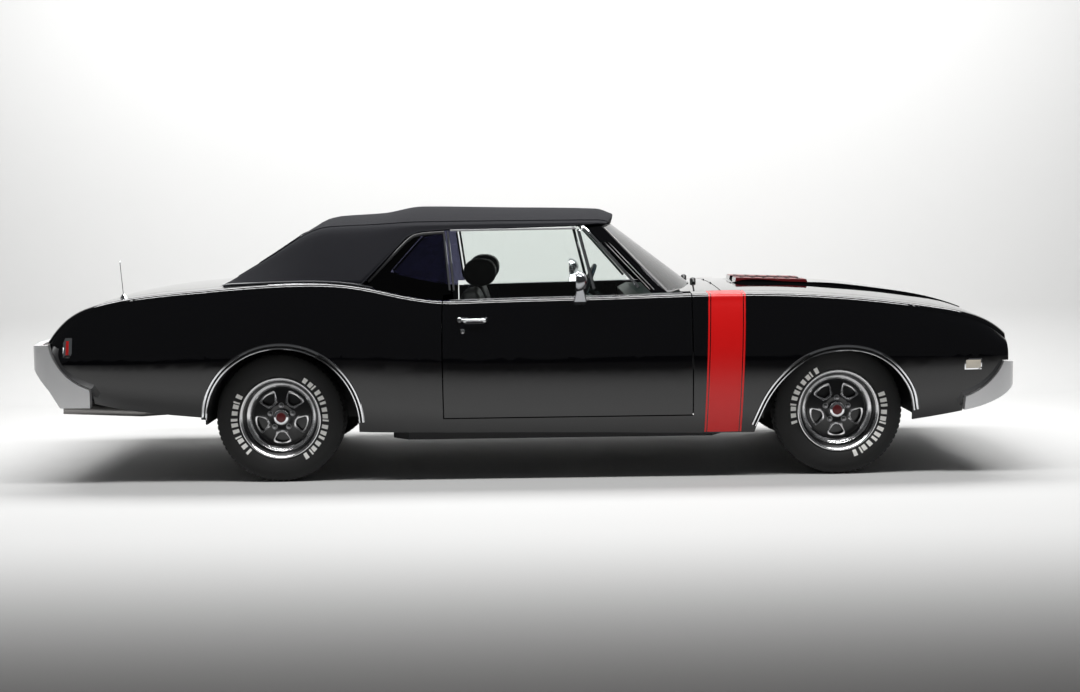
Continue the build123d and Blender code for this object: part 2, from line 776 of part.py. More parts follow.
export_step(soft_top.part, "parts/soft_top.step")

with BuildPart() as rear_window:
    add(top_hull(TOP_T * 0.3))
    add(top_hull(TOP_T * 0.7), mode=Mode.SUBTRACT)
    with BuildSketch(REAR_PANE.offset(-120)):
        RectangleRounded(920, 250, 40)
    extrude(amount=240, mode=Mode.INTERSECT)
rear_window.part.label = "rear_window"
export_step(rear_window.part, "parts/rear_window.step")

# ---- side glass: flat leaning sheets along the side of the top ----
GLASS_T = 5.0
GLASS_BASE_Y = 858.0
GLASS_TOP_Y = 652.0
GLASS_TOP_Z = 1272.0
GLASS_SPLIT_X = DOOR_FRONT_X - 1232.0


def side_glass(outline):
    """A leaning sheet on the right side, cut to an outline given in side view."""
    with BuildPart() as sheet:
        with BuildSketch(Plane.YZ.offset(-REACH)):
            with BuildLine():
                Polyline(
                    (-GLASS_BASE_Y, BELT_Z - 60),
                    (-GLASS_TOP_Y, GLASS_TOP_Z + 20),
                    (-GLASS_TOP_Y + GLASS_T, GLASS_TOP_Z + 20),
                    (-GLASS_BASE_Y + GLASS_T, BELT_Z - 60),
                    close=True,
                )
            make_face()
        extrude(amount=2 * REACH)
        with BuildSketch(Plane.XZ):
            with BuildLine():
                Polyline(*outline, close=True)
            make_face()
        extrude(amount=1100, mode=Mode.INTERSECT)
    return sheet.part


DOOR_GLASS = [
    (GLASS_SPLIT_X + 34, 900),
    (GLASS_SPLIT_X - 8, 1268),
    (DOOR_FRONT_X - 545, 1276),
    (DOOR_FRONT_X - 512, 1270),
    (DOOR_FRONT_X - 240, 962),
    (DOOR_FRONT_X - 240, 900),
]
with BuildPart() as door_glass_right:
    add(side_glass(DOOR_GLASS))
    add(door_right.part, mode=Mode.SUBTRACT)
door_glass_right.part.label = "door_glass_right"
export_step(door_glass_right.part, "parts/door_glass_right.step")

with BuildPart() as door_glass_left:
    add(door_glass_right.part)
    mirror(about=Plane.XZ, mode=Mode.REPLACE)
door_glass_left.part.label = "door_glass_left"
export_step(door_glass_left.part, "parts/door_glass_left.step")

QUARTER_GLASS = [
    (GLASS_SPLIT_X + 25, 900),
    (GLASS_SPLIT_X - 17, 1262),
    (REAR_AXLE_X + 718, 1252),
    (REAR_AXLE_X + 660, 1226),
    (REAR_AXLE_X + 450, 1016),
    (REAR_AXLE_X + 500, 900),
]
with BuildPart() as quarter_glass:
    add(side_glass(QUARTER_GLASS))
    add(quarter_panels.part, mode=Mode.SUBTRACT)
    add(soft_top.part, mode=Mode.SUBTRACT)
    add(shut_disc(DOOR_SHUT_R + GAP, BELT_Z), mode=Mode.SUBTRACT)
    mirror(about=Plane.XZ)
quarter_glass.part.label = "quarter_glass"
export_step(quarter_glass.part, "parts/quarter_glass.step")

# ---- door mirrors ----
MIRROR_X = DOOR_FRONT_X - 560.0
MIRROR_Y = 980.0
MIRROR_Z = 1012.0
with BuildPart() as mirror_right:
    with BuildSketch(Plane((MIRROR_X, -MIRROR_Y, MIRROR_Z), x_dir=(1, 0, 0), z_dir=(0, 0, 1))):
        with BuildLine():
            Polyline((-22, 0), (-22, 48), (-14, 52))
            ThreePointArc((-14, 52), (22, 36), (38, 0))
            Line((38, 0), (-22, 0))
        make_face()
    revolve(axis=Axis((MIRROR_X, -MIRROR_Y, MIRROR_Z), (1, 0, 0)))
    with BuildSketch(Plane.XY.offset(905)):
        with Locations((MIRROR_X, -905)):
            SlotOverall(70, 34)
    with BuildSketch(Plane.XY.offset(MIRROR_Z - 30)):
        with Locations((MIRROR_X, -MIRROR_Y + 20)):
            SlotOverall(26, 14)
    loft()
    add(OUTER, mode=Mode.SUBTRACT)
mirror_right.part.label = "mirror_right"
export_step(mirror_right.part, "parts/mirror_right.step")

with BuildPart() as mirror_left:
    add(mirror_right.part)
    mirror(about=Plane.XZ, mode=Mode.REPLACE)
mirror_left.part.label = "mirror_left"
export_step(mirror_left.part, "parts/mirror_left.step")

# ---- right exhaust pipe's run, needed by the frame's hangers too ----
PIPE_RUN = [
    (FRONT_AXLE_X - 330, -EXHAUST_IN_Y, 450),
    (FRONT_AXLE_X - 520, -EXHAUST_Y, EXHAUST_LOW_Z),
    (REAR_AXLE_X + 640, -EXHAUST_Y, EXHAUST_LOW_Z),
    (REAR_AXLE_X + 250, -EXHAUST_Y, 430),
    (REAR_AXLE_X - 180, -EXHAUST_Y, 430),
    (REAR_AXLE_X - 480, -EXHAUST_Y - 130, 346),
    (REAR_AXLE_X - 760, -EXHAUST_Y - 270, 346),
    (REAR_AXLE_X - 1150, -EXHAUST_Y - 330, 372),
]
TAIL_PIPE = Line(PIPE_RUN[-2], PIPE_RUN[-1])


def exhaust_pipe(radius):
    """Solid along the right exhaust pipe's run."""
    with BuildPart() as pipe:
        with BuildLine() as pipe_line:
            FilletPolyline(*PIPE_RUN, radius=80)
        with BuildSketch(Plane(pipe_line.line @ 0, z_dir=pipe_line.line % 0)):
            Circle(radius)
        sweep()
    return pipe.part


# ---- perimeter frame: its plan crossed with its side profile ----
FRAME_FLOOR_Z = 262.0
FRAME_H = 62.0
CROSS_H = 26.0
GUIDE_Y = 392.0
GUIDE_W = 40.0
RAIL_OVER_AXLE_Z = 434.0
TOWER_Y = 420.0
TOWER_W = 56.0
with BuildPart() as hanger_pipes:
    add(exhaust_pipe(EXHAUST_R + FIT))
    mirror(about=Plane.XZ)

with BuildPart() as chassis_frame:
    with BuildSketch(Plane.XY):
        with BuildLine():
            Polyline(
                (FRONT_AXLE_X + 780, -440),
                (FRONT_AXLE_X - 420, -420),
                (FRONT_AXLE_X - 640, -780),
                (REAR_AXLE_X + 650, -780),
                (REAR_AXLE_X + 440, -560),
                (REAR_AXLE_X - 1080, -560),
                (REAR_AXLE_X - 1080, -490),
                (REAR_AXLE_X + 470, -490),
                (REAR_AXLE_X + 680, -705),
                (FRONT_AXLE_X - 670, -705),
                (FRONT_AXLE_X - 450, -345),
                (FRONT_AXLE_X + 780, -365),
                close=True,
            )
        make_face()
        mirror(about=Plane.XZ)
        for x, half in (
            (FRONT_AXLE_X + 740, 380),
            (FRONT_AXLE_X, 380),
            (FRONT_AXLE_X - 1070, 740),
            (REAR_AXLE_X + 700, 740),
            (REAR_AXLE_X - 1040, 520),
        ):
            with Locations((x, 0)):
                Rectangle(80, 2 * half)
    extrude(amount=700)
    with BuildSketch(Plane.XZ):
        with BuildLine():
            Polyline(
                (FRONT_AXLE_X + 790, 400),
                (FRONT_AXLE_X - 200, 380),
                (FRONT_AXLE_X - 560, FRAME_FLOOR_Z),
                (REAR_AXLE_X + 500, FRAME_FLOOR_Z),
                (REAR_AXLE_X + 240, 500),
                (REAR_AXLE_X - 260, 500),
                (REAR_AXLE_X - 560, 450),
                (REAR_AXLE_X - 1090, 450),
                (REAR_AXLE_X - 1090, 384),
                (REAR_AXLE_X - 580, 384),
                (REAR_AXLE_X - 280, RAIL_OVER_AXLE_Z),
                (REAR_AXLE_X + 210, RAIL_OVER_AXLE_Z),
                (REAR_AXLE_X + 470, FRAME_FLOOR_Z - FRAME_H),
                (FRONT_AXLE_X - 590, FRAME_FLOOR_Z - FRAME_H),
                (FRONT_AXLE_X - 230, 290),
                (FRONT_AXLE_X + 790, 310),
                close=True,
            )
        make_face()
    extrude(amount=REACH, both=True, mode=Mode.INTERSECT)
    with Locations((FRONT_AXLE_X, TOWER_Y, 326), (FRONT_AXLE_X, -TOWER_Y, 326)):
        Box(240, TOWER_W, 2 * 126)
    with BuildSketch(Plane.XY.offset(FRAME_FLOOR_Z - CROSS_H)):
        with Locations((FRONT_AXLE_X - 560, 0)):
            Rectangle(WHEELBASE - 1000, 2 * 690, align=(Align.MAX, Align.CENTER))
    extrude(amount=-2 * FRAME_H, mode=Mode.SUBTRACT)
    for side in (-1, 1):
        with Locations((FRONT_AXLE_X - STEER_ARM, side * GUIDE_Y, LINK_Z + 15)):
            Box(GUIDE_W, GUIDE_W, 66)
        with Locations((REAR_AXLE_X - 1000, side * 600, 392)):
            Box(40, 90, 12)
    with BuildSketch(Plane.XZ.offset(-REACH)):
        with Locations((FRONT_AXLE_X - STEER_ARM, LINK_Z)):
            Circle(LINK_R + FIT)
    extrude(amount=2 * REACH, mode=Mode.SUBTRACT)
    add(hanger_pipes.part, mode=Mode.SUBTRACT)
chassis_frame.part.label = "chassis_frame"
export_step(chassis_frame.part, "parts/chassis_frame.step")

# ---- floor: one folded sheet with the firewall, and the tubs over the rear wheels ----
FLOOR_T = 10.0
FLOOR_HALF = DOOR_INNER_Y - 60.0 - FIT
FLOOR_DROP = 250.0  # how far below the sills the body's inner line is carried down to trim the floor
TUB_INNER_Y = 596.0
TUB_R = 398.0
# columns: x, half width, height of the tunnel's roof
TUNNEL = [
    (COWL_FRONT_X - 20, 196, 590),
    (FRONT_AXLE_X - 1010, 96, 450),
    (REAR_AXLE_X + 430, 90, 420),
]


def tunnel(inset):
    """Tunnel over gearbox and shaft, or the smaller space inside it."""
    with BuildPart() as hump:
        for near, far in zip(TUNNEL, TUNNEL[1:]):
            for x, half, roof_z in (near, far):
                with BuildSketch(Plane.YZ.offset(x)):
                    with BuildLine():
                        Polyline(
                            (half - inset, FRAME_FLOOR_Z + FIT - inset),
                            (0.8 * half - inset, roof_z - 30 - inset),
                            (0.5 * half - inset, roof_z - inset),
                            (inset - 0.5 * half, roof_z - inset),
                            (inset - 0.8 * half, roof_z - 30 - inset),
                            (inset - half, FRAME_FLOOR_Z + FIT - inset),
                            close=True,
                        )
                    make_face()
            loft(ruled=True)
    return hump.part


with BuildPart() as floor_pan:
    with BuildSketch(Plane.XZ):
        with BuildLine():
            Polyline(
                (COWL_FRONT_X - 20, 905),
                (COWL_FRONT_X - 20, 440),
                (DOOR_FRONT_X - 60, FRAME_FLOOR_Z + FIT),
                (REAR_AXLE_X + 640, FRAME_FLOOR_Z + FIT),
                (REAR_AXLE_X + 560, 350),
                (REAR_AXLE_X + 300, 502),
                (REAR_AXLE_X - 270, 502),
                (REAR_AXLE_X - 560, 452),
                (REAR_AXLE_X - 1160, 452),
                (REAR_AXLE_X - 1160, 452 + FLOOR_T),
                (REAR_AXLE_X - 562, 452 + FLOOR_T),
                (REAR_AXLE_X - 272, 502 + FLOOR_T),
                (REAR_AXLE_X + 303, 502 + FLOOR_T),
                (REAR_AXLE_X + 566, 350 + FLOOR_T),
                (REAR_AXLE_X + 646, FRAME_FLOOR_Z + FLOOR_T),
                (DOOR_FRONT_X - 64, FRAME_FLOOR_Z + FLOOR_T),
                (COWL_FRONT_X - 20 - FLOOR_T, 444),
                (COWL_FRONT_X - 20 - FLOOR_T, 905),
                close=True,
            )
        make_face()
    extrude(amount=FLOOR_HALF, both=True)
    with BuildSketch(Plane.XZ.offset(TUB_INNER_Y)):
        with Locations((REAR_AXLE_X + REAR_ARCH_DX, REAR_ARCH_Z)):
            Circle(TUB_R)
    extrude(amount=FLOOR_HALF, mode=Mode.SUBTRACT)
    with BuildSketch(Plane.XZ.offset(TUB_INNER_Y)):
        with Locations((REAR_AXLE_X + REAR_ARCH_DX, REAR_ARCH_Z)):
            Circle(TUB_R)
            Rectangle(3 * TUB_R, 400, align=(Align.CENTER, Align.MAX), mode=Mode.SUBTRACT)
    extrude(amount=290)
    with BuildSketch(Plane.XZ.offset(TUB_INNER_Y + FLOOR_T)):
        with Locations((REAR_AXLE_X + REAR_ARCH_DX, REAR_ARCH_Z)):
            Circle(TUB_R - FLOOR_T)
            Rectangle(2 * TUB_R, 400, align=(Align.CENTER, Align.MAX))
    extrude(amount=400, mode=Mode.SUBTRACT)
    with BuildSketch(Plane.XZ.offset(TUB_INNER_Y - 1)):
        with Locations((REAR_AXLE_X, TYRE_R)):
            Rectangle(110, 180)
    extrude(amount=FLOOR_T + 2, mode=Mode.SUBTRACT)
    with BuildSketch(Plane.XY):
        Rectangle(6 * REACH, REACH, align=(Align.CENTER, Align.MAX))
    extrude(amount=1400, mode=Mode.INTERSECT)
    mirror(about=Plane.XZ)
    add(tunnel(0.0))
    add(tunnel(FLOOR_T), mode=Mode.SUBTRACT)
    add(body_skin(SKIN + FIT, drop=FLOOR_DROP), mode=Mode.INTERSECT)
floor_pan.part.label = "floor_pan"
export_step(floor_pan.part, "parts/floor_pan.step")

# ---- inner fenders over the front wheels ----
APRON_Y = 470.0
with BuildPart() as inner_fenders:
    with BuildSketch(Plane.XZ.offset(APRON_Y)):
        with Locations((FRONT_AXLE_X, REAR_ARCH_Z)):
            Circle(TUB_R)
            Rectangle(3 * TUB_R, 400, align=(Align.CENTER, Align.MAX), mode=Mode.SUBTRACT)
    extrude(amount=REACH)
    add(body_skin(SKIN + FIT, drop=60.0), mode=Mode.INTERSECT)
    with BuildSketch(Plane.XZ.offset(APRON_Y + FLOOR_T)):
        with Locations((FRONT_AXLE_X, REAR_ARCH_Z)):
            Circle(TUB_R - FLOOR_T)
    extrude(amount=500, mode=Mode.SUBTRACT)
    with BuildSketch(Plane.XZ.offset(APRON_Y - 1)):
        with Locations((FRONT_AXLE_X, 300)):
            Rectangle(520, 500)
    extrude(amount=FLOOR_T + 1, mode=Mode.SUBTRACT)
    mirror(about=Plane.XZ)
inner_fenders.part.label = "inner_fenders"
export_step(inner_fenders.part, "parts/inner_fenders.step")

# ---- engine, driveline, axle, tank, exhaust ----
SHAFT_Z = 330.0
ENGINE_Z = 595.3
with BuildPart() as engine:
    with Locations((FRONT_AXLE_X - 60, 0, ENGINE_Z)):
        Box(640, 520, 420)
    chamfer(engine.edges().filter_by(Axis.X), 60)
engine.part.label = "engine"
export_step(engine.part, "parts/engine.step")

GEARBOX_REAR_X = FRONT_AXLE_X - 1010.0
with BuildPart() as driveline:
    with BuildSketch(Plane.YZ.offset(GEARBOX_REAR_X)):
        with Locations((0, SHAFT_Z + 30)):
            Circle(70)
    with BuildSketch(Plane.YZ.offset(FRONT_AXLE_X - 380 - FIT)):
        with Locations((0, SHAFT_Z + 60)):
            Circle(170)
    loft()
    with BuildSketch(Plane.YZ.offset(REAR_AXLE_X + 150)):
        with Locations((0, SHAFT_Z)):
            Circle(38)
    with BuildSketch(Plane.YZ.offset(GEARBOX_REAR_X)):
        with Locations((0, SHAFT_Z + 30)):
            Circle(38)
    loft()
driveline.part.label = "driveline"
export_step(driveline.part, "parts/driveline.step")

AXLE_END_Y = TRACK / 2 - 40
AXLE_R = 42.0
with BuildPart() as rear_axle:
    with BuildSketch(Plane.XZ.offset(-AXLE_END_Y)):
        with Locations((REAR_AXLE_X, TYRE_R)):
            Circle(AXLE_R)
    extrude(amount=2 * AXLE_END_Y)
    with Locations((REAR_AXLE_X, 0, TYRE_R)):
        Sphere(140)
    with BuildSketch(Plane.YZ.offset(REAR_AXLE_X + 100)):
        with Locations((0, SHAFT_Z)):
            Circle(60)
    extrude(amount=50 - FIT)
    for y in (AXLE_END_Y - 12, -AXLE_END_Y):
        with BuildSketch(Plane.XZ.offset(y)):
            with Locations((REAR_AXLE_X, TYRE_R)):
                Circle(132)
        extrude(amount=12)
    for y in (TRACK / 2 + 30, -AXLE_END_Y):
        with BuildSketch(Plane.XZ.offset(-y if y < 0 else -AXLE_END_Y)):
            with Locations((REAR_AXLE_X, TYRE_R)):
                Circle(HUB_BORE_R - FIT)
        extrude(amount=70 if y < 0 else -70)
rear_axle.part.label = "rear_axle"
export_step(rear_axle.part, "parts/rear_axle.step")

with BuildPart() as fuel_tank:
    with Locations((REAR_AXLE_X - 790, 0, 389)):
        Box(420, 800, 125)
    fillet(fuel_tank.edges().filter_by(Axis.Y), 40)
fuel_tank.part.label = "fuel_tank"
export_step(fuel_tank.part, "parts/fuel_tank.step")

with BuildPart() as exhaust:
    add(exhaust_pipe(EXHAUST_R))
    with BuildSketch(Plane(TAIL_PIPE @ 1, z_dir=TAIL_PIPE % 1)):
        Circle(EXHAUST_BORE_R)
    extrude(amount=-EXHAUST_TIP_BORE, mode=Mode.SUBTRACT)
    mirror(about=Plane.XZ)
exhaust.part.label = "exhaust"
export_step(exhaust.part, "parts/exhaust.step")

# ---- front suspension arms and springs, rear links and springs ----
KNUCKLE_TOP_Z = TYRE_R + 96
KNUCKLE_BOTTOM_Z = TYRE_R - 96
ARM_T = 26.0
with BuildPart() as suspension:
    for z, inner_y, spread in (
        (KNUCKLE_BOTTOM_Z - ARM_T - FIT, TOWER_Y + TOWER_W / 2, 110),
        (KNUCKLE_TOP_Z + FIT, TOWER_Y + TOWER_W / 2, 100),
    ):
        with BuildSketch(Plane.XY.offset(z)):
            with BuildLine():
                Polyline(
                    (FRONT_AXLE_X - spread, -inner_y),
                    (FRONT_AXLE_X + spread, -inner_y),
                    (FRONT_AXLE_X + 26, -KINGPIN_Y),
                    (FRONT_AXLE_X - 26, -KINGPIN_Y),
                    close=True,
                )
            make_face()
            with Locations((FRONT_AXLE_X, -KINGPIN_Y)):
                Circle(30)
        extrude(amount=ARM_T)
    with BuildSketch(Plane.XY.offset(KNUCKLE_BOTTOM_Z - FIT)):
        with Locations((FRONT_AXLE_X, -530)):
            Circle(58)
    extrude(amount=190)
    with BuildSketch(Plane.XY.offset(TYRE_R + AXLE_R + FIT)):
        with Locations((REAR_AXLE_X, -525)):
            Circle(60)
    extrude(amount=RAIL_OVER_AXLE_Z - 2 * FIT - TYRE_R - AXLE_R)
    mirror(about=Plane.XZ)
suspension.part.label = "suspension"
export_step(suspension.part, "parts/suspension.step")

# ---- steered knuckles ----
with BuildPart() as knuckle_right:
    with BuildSketch(Plane.XY.offset(KNUCKLE_BOTTOM_Z)):
        with Locations((FRONT_AXLE_X, -KINGPIN_Y)):
            Circle(24)
    extrude(amount=KNUCKLE_TOP_Z - KNUCKLE_BOTTOM_Z)
    with BuildSketch(Plane.XZ.offset(KINGPIN_Y + 34)):
        with Locations((FRONT_AXLE_X, TYRE_R)):
            Circle(128)
    extrude(amount=12)
    with BuildSketch(Plane.XZ.offset(KINGPIN_Y)):
        with Locations((FRONT_AXLE_X, TYRE_R)):
            Circle(HUB_BORE_R - FIT)
    extrude(amount=100)
    with BuildSketch(Plane.XY.offset(STEER_ARM_Z)):
        with BuildLine():
            Polyline(
                (FRONT_AXLE_X, -KINGPIN_Y - 18),
                (FRONT_AXLE_X, -KINGPIN_Y + 18),
                (FRONT_AXLE_X - STEER_ARM, STEER_ARM_IN + BALL_R - KINGPIN_Y),
                (FRONT_AXLE_X - STEER_ARM, STEER_ARM_IN - BALL_R - KINGPIN_Y),
                close=True,
            )
        make_face()
        with Locations((FRONT_AXLE_X - STEER_ARM, STEER_ARM_IN - KINGPIN_Y)):
            Circle(BALL_R)
    extrude(amount=18)
knuckle_right.part.label = "knuckle_right"
export_step(knuckle_right.part, "parts/knuckle_right.step")

with BuildPart() as knuckle_left:
    add(knuckle_right.part)
    mirror(about=Plane.XZ, mode=Mode.REPLACE)
knuckle_left.part.label = "knuckle_left"
export_step(knuckle_left.part, "parts/knuckle_left.step")

with BuildPart() as steering_linkage:
    with BuildSketch(Plane.XZ.offset(STEER_ARM_IN - KINGPIN_Y)):
        with Locations((FRONT_AXLE_X - STEER_ARM, LINK_Z)):
            Circle(LINK_R)
    extrude(amount=2 * (KINGPIN_Y - STEER_ARM_IN))
    for side in (-1, 1):
        with BuildSketch(Plane.XY.offset(STEER_ARM_Z - LINK_CLEARANCE - 32)):
            with Locations((FRONT_AXLE_X - STEER_ARM, side * (KINGPIN_Y - STEER_ARM_IN))):
                Circle(BALL_R)
        extrude(amount=32)
steering_linkage.part.label = "steering_linkage"
export_step(steering_linkage.part, "parts/steering_linkage.step")

# ---- cabin: dashboard with column, steering wheel, seats ----
STEER_CENTRE = (DOOR_FRONT_X - 520.0, 372.0, 868.0)
STEER_TILT = 24.0
STEER_R = 198.0
COLUMN = Plane(
    STEER_CENTRE,
    x_dir=(0, 1, 0),
    z_dir=(-cos(radians(STEER_TILT)), 0, sin(radians(STEER_TILT))),
)
COLUMN_SHAFT_R = 10.0
with BuildPart() as dashboard:
    with BuildSketch(Plane.XZ):
        with BuildLine():
            Polyline(
                (DOOR_FRONT_X - 300, 900),
                (DOOR_FRONT_X - 250, 925),
                (DOOR_FRONT_X + 10, 924.4),
                (DOOR_FRONT_X + 20, 800),
                (DOOR_FRONT_X - 120, 640),
                (DOOR_FRONT_X - 250, 680),
                (DOOR_FRONT_X - 290, 780),
                close=True,
            )
        make_face()
    extrude(amount=700, both=True)
    with BuildSketch(COLUMN.offset(-30)):
        Circle(26)
    extrude(amount=-320)
    with BuildSketch(COLUMN.offset(-32)):
        Circle(COLUMN_SHAFT_R)
    extrude(amount=22)
dashboard.part.label = "dashboard"
export_step(dashboard.part, "parts/dashboard.step")

with BuildPart() as steering_wheel:
    with BuildSketch(Plane(STEER_CENTRE, x_dir=COLUMN.x_dir, z_dir=COLUMN.z_dir.cross(COLUMN.x_dir))):
        with Locations((STEER_R - 13, 0)):
            Circle(13)
    revolve(axis=Axis(STEER_CENTRE, COLUMN.z_dir))
    with BuildSketch(COLUMN.offset(-24)):
        Circle(62)
        for angle in (0, 180):
            with Locations(Rotation(0, 0, angle)):
                with Locations((STEER_R / 2, 0)):
                    Rectangle(STEER_R - 20, 34)
        Circle(COLUMN_SHAFT_R + FIT, mode=Mode.SUBTRACT)
    extrude(amount=16)
steering_wheel.part.label = "steering_wheel"
export_step(steering_wheel.part, "parts/steering_wheel.step")

SEAT_Y = 372.0
SEAT_W = 520.0
FLOOR_TOP_Z = FRAME_FLOOR_Z + FLOOR_T + FIT
CUSHION_Z = 350.0
CUSHION_H = 160.0
with BuildPart() as front_cushions:
    with BuildSketch(Plane.XY.offset(CUSHION_Z)):
        with Locations((DOOR_FRONT_X - 820, -SEAT_Y)):
            RectangleRounded(520, SEAT_W, 60)
    extrude(amount=CUSHION_H)
    fillet(front_cushions.faces().sort_by(Axis.Z)[-1].edges(), 40)
    with BuildSketch(Plane.XY.offset(FLOOR_TOP_Z)):
        with Locations((DOOR_FRONT_X - 820, -SEAT_Y)):
            Rectangle(420, SEAT_W - 120)
    extrude(amount=CUSHION_Z - FLOOR_TOP_Z)
    mirror(about=Plane.XZ)
front_cushions.part.label = "front_cushions"
export_step(front_cushions.part, "parts/front_cushions.step")

with BuildPart() as front_backs:
    with BuildSketch(Plane.XZ.offset(SEAT_Y - SEAT_W / 2)):
        with BuildLine():
            Polyline(
                (DOOR_FRONT_X - 1085, 400),
                (DOOR_FRONT_X - 1180, 930),
                (DOOR_FRONT_X - 1060, 960),
                (DOOR_FRONT_X - 950, CUSHION_Z + CUSHION_H + FIT),
                (DOOR_FRONT_X - 1082, CUSHION_Z + CUSHION_H + FIT),
                close=True,
            )
        make_face()
    extrude(amount=SEAT_W)
    fillet(front_backs.edges().filter_by(Axis.Y).sort_by(Axis.Z)[-2:], 30)
    with Locations((DOOR_FRONT_X - 1088, -SEAT_Y, 1035)):
        Box(110, 230, 150)
    with Locations((DOOR_FRONT_X - 1100, -SEAT_Y, 950)):
        Box(30, 60, 60)
    mirror(about=Plane.XZ)
front_backs.part.label = "front_backs"
export_step(front_backs.part, "parts/front_backs.step")

REAR_SEAT_Z = 512.5
with BuildPart() as rear_cushion:
    with Locations((REAR_AXLE_X + 400, 0, REAR_SEAT_Z + 73)):
        Box(480, 1120, 146)
rear_cushion.part.label = "rear_cushion"
export_step(rear_cushion.part, "parts/rear_cushion.step")

with BuildPart() as rear_back:
    with BuildSketch(Plane.XZ.offset(-560)):
        with BuildLine():
            Polyline(
                (REAR_AXLE_X + 150, REAR_SEAT_Z),
                (REAR_AXLE_X + 20, 960),
                (REAR_AXLE_X + 130, 980),
                (REAR_AXLE_X + 159, 880),
                (REAR_AXLE_X + 159, REAR_SEAT_Z),
                close=True,
            )
        make_face()
    extrude(amount=1120)
rear_back.part.label = "rear_back"
export_step(rear_back.part, "parts/rear_back.step")


# ---- wheels ----
WHEELS = [
    ("front_right", FRONT_AXLE_X, -1),
    ("front_left", FRONT_AXLE_X, 1),
    ("rear_right", REAR_AXLE_X, -1),
    ("rear_left", REAR_AXLE_X, 1),
]


def make_tyre(centre, spin):
    """Tyre turned about the wheel's axis; sketch x is the radius and y points outboard."""
    tread_half = TYRE_W / 2 - 26
    bead = BEAD_R + FIT
    bead_half = RIM_W / 2 - 9 - FIT
    flange_half = RIM_W / 2 - 6 - FIT
    with BuildPart() as tyre:
        with BuildSketch(centre):
            with BuildLine():
                Polyline(
                    (bead, bead_half),
                    (bead, bead_half - 24),
                    (TYRE_R - 16, tread_half - 20),
                    (TYRE_R - 16, 20 - tread_half),
                    (bead, 24 - bead_half),
                    (bead, -bead_half),
                )
                Line((bead, -bead_half), (RIM_FLANGE_R + FIT, -flange_half))
                ThreePointArc(
                    (RIM_FLANGE_R + FIT, -flange_half),
                    (BEAD_R + 68, -TYRE_W / 2),
                    (TYRE_R - 14, -tread_half - 8),
                )
                ThreePointArc(
                    (TYRE_R - 14, -tread_half - 8), (TYRE_R - 4, -tread_half), (TYRE_R - 1, 8 - tread_half)
                )
                ThreePointArc((TYRE_R - 1, 8 - tread_half), (TYRE_R, 0), (TYRE_R - 1, tread_half - 8))
                ThreePointArc(
                    (TYRE_R - 1, tread_half - 8), (TYRE_R - 4, tread_half), (TYRE_R - 14, tread_half + 8)
                )
                ThreePointArc(
                    (TYRE_R - 14, tread_half + 8),
                    (BEAD_R + 68, TYRE_W / 2),
                    (RIM_FLANGE_R + FIT, flange_half),
                )
                Line((RIM_FLANGE_R + FIT, flange_half), (bead, bead_half))
            make_face()
        revolve(axis=spin)
    return tyre.part


# One opening in the disc: narrow towards the hub, with rounded corners.
WINDOW_IN_R = 78.0
WINDOW_OUT_R = 132.0
with BuildSketch() as rim_window:
    with BuildLine():
        Line((WINDOW_IN_R, -17), (WINDOW_IN_R, 17))
        Line((WINDOW_IN_R, 17), (WINDOW_OUT_R - 12, 40))
        ThreePointArc((WINDOW_OUT_R - 12, 40), (WINDOW_OUT_R, 0), (WINDOW_OUT_R - 12, -40))
        Line((WINDOW_OUT_R - 12, -40), (WINDOW_IN_R, -17))
    make_face()
    fillet(rim_window.vertices(), 9)


def make_rim(centre, spin, face):
    """Rim turned about the wheel's axis, with its windows cut through the disc."""
    with BuildPart() as rim:
        with BuildSketch(centre):
            with BuildLine():
                Polyline(
                    (HUB_BORE_R, 8),
                    (HUB_BORE_R, 40),
                    (64, 44),
                    (106, 34),
                    (150, 20),
                    (158, 30),
                    (176, 48),
                    (183, 80),
                    (198, RIM_W / 2 - 3),
                    (RIM_FLANGE_R - 4, RIM_W / 2),
                    (RIM_FLANGE_R, RIM_W / 2),
                    (RIM_FLANGE_R, RIM_W / 2 - 6),
                    (BEAD_R, RIM_W / 2 - 9),
                    (BEAD_R, RIM_W / 2 - 40),
                    (168, 30),
                    (168, -40),
                    (BEAD_R, 40 - RIM_W / 2),
                    (BEAD_R, 9 - RIM_W / 2),
                    (RIM_FLANGE_R, 6 - RIM_W / 2),
                    (RIM_FLANGE_R, -RIM_W / 2),
                    (RIM_FLANGE_R - 4, -RIM_W / 2),
                    (BEAD_R - 9, 6 - RIM_W / 2),
                    (BEAD_R - 9, 34 - RIM_W / 2),
                    (157, -46),
                    (154, 8),
                    (106, 22),
                    (64, 10),
                    close=True,
                )
            make_face()
        revolve(axis=spin)
        with BuildSketch(face):
            with PolarLocations(0, WINDOW_COUNT, start_angle=-90):
                add(rim_window.sketch)
        extrude(amount=RIM_W / 2, both=True, mode=Mode.SUBTRACT)
    return rim.part


for place, axle_x, side in WHEELS:
    middle = (axle_x, side * TRACK / 2, TYRE_R)
    section = Plane(middle, x_dir=(1, 0, 0), z_dir=(0, 0, side))
    face = Plane(middle, x_dir=(1, 0, 0), z_dir=(0, side, 0))
    spin = Axis(middle, (0, 1, 0))
    tyre = make_tyre(section, spin)
    tyre.label = f"tyre_{place}"
    export_step(tyre, f"parts/tyre_{place}.step")
    rim = make_rim(section, spin, face)
    rim.label = f"rim_{place}"
    export_step(rim, f"parts/rim_{place}.step")
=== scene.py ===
"""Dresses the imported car: finishes, trim, tyres, cloth, glass, light and camera.

All lengths are in metres, in the same frame as the CAD model: +X towards the nose,
+Y towards the car's left and +Z up, with the origin on the ground.
"""

from __future__ import annotations

import logging
import math
from dataclasses import dataclass, field
from enum import Enum
from typing import Callable, Iterable, Sequence

import bpy
from mathutils import Matrix, Vector
from mathutils.bvhtree import BVHTree

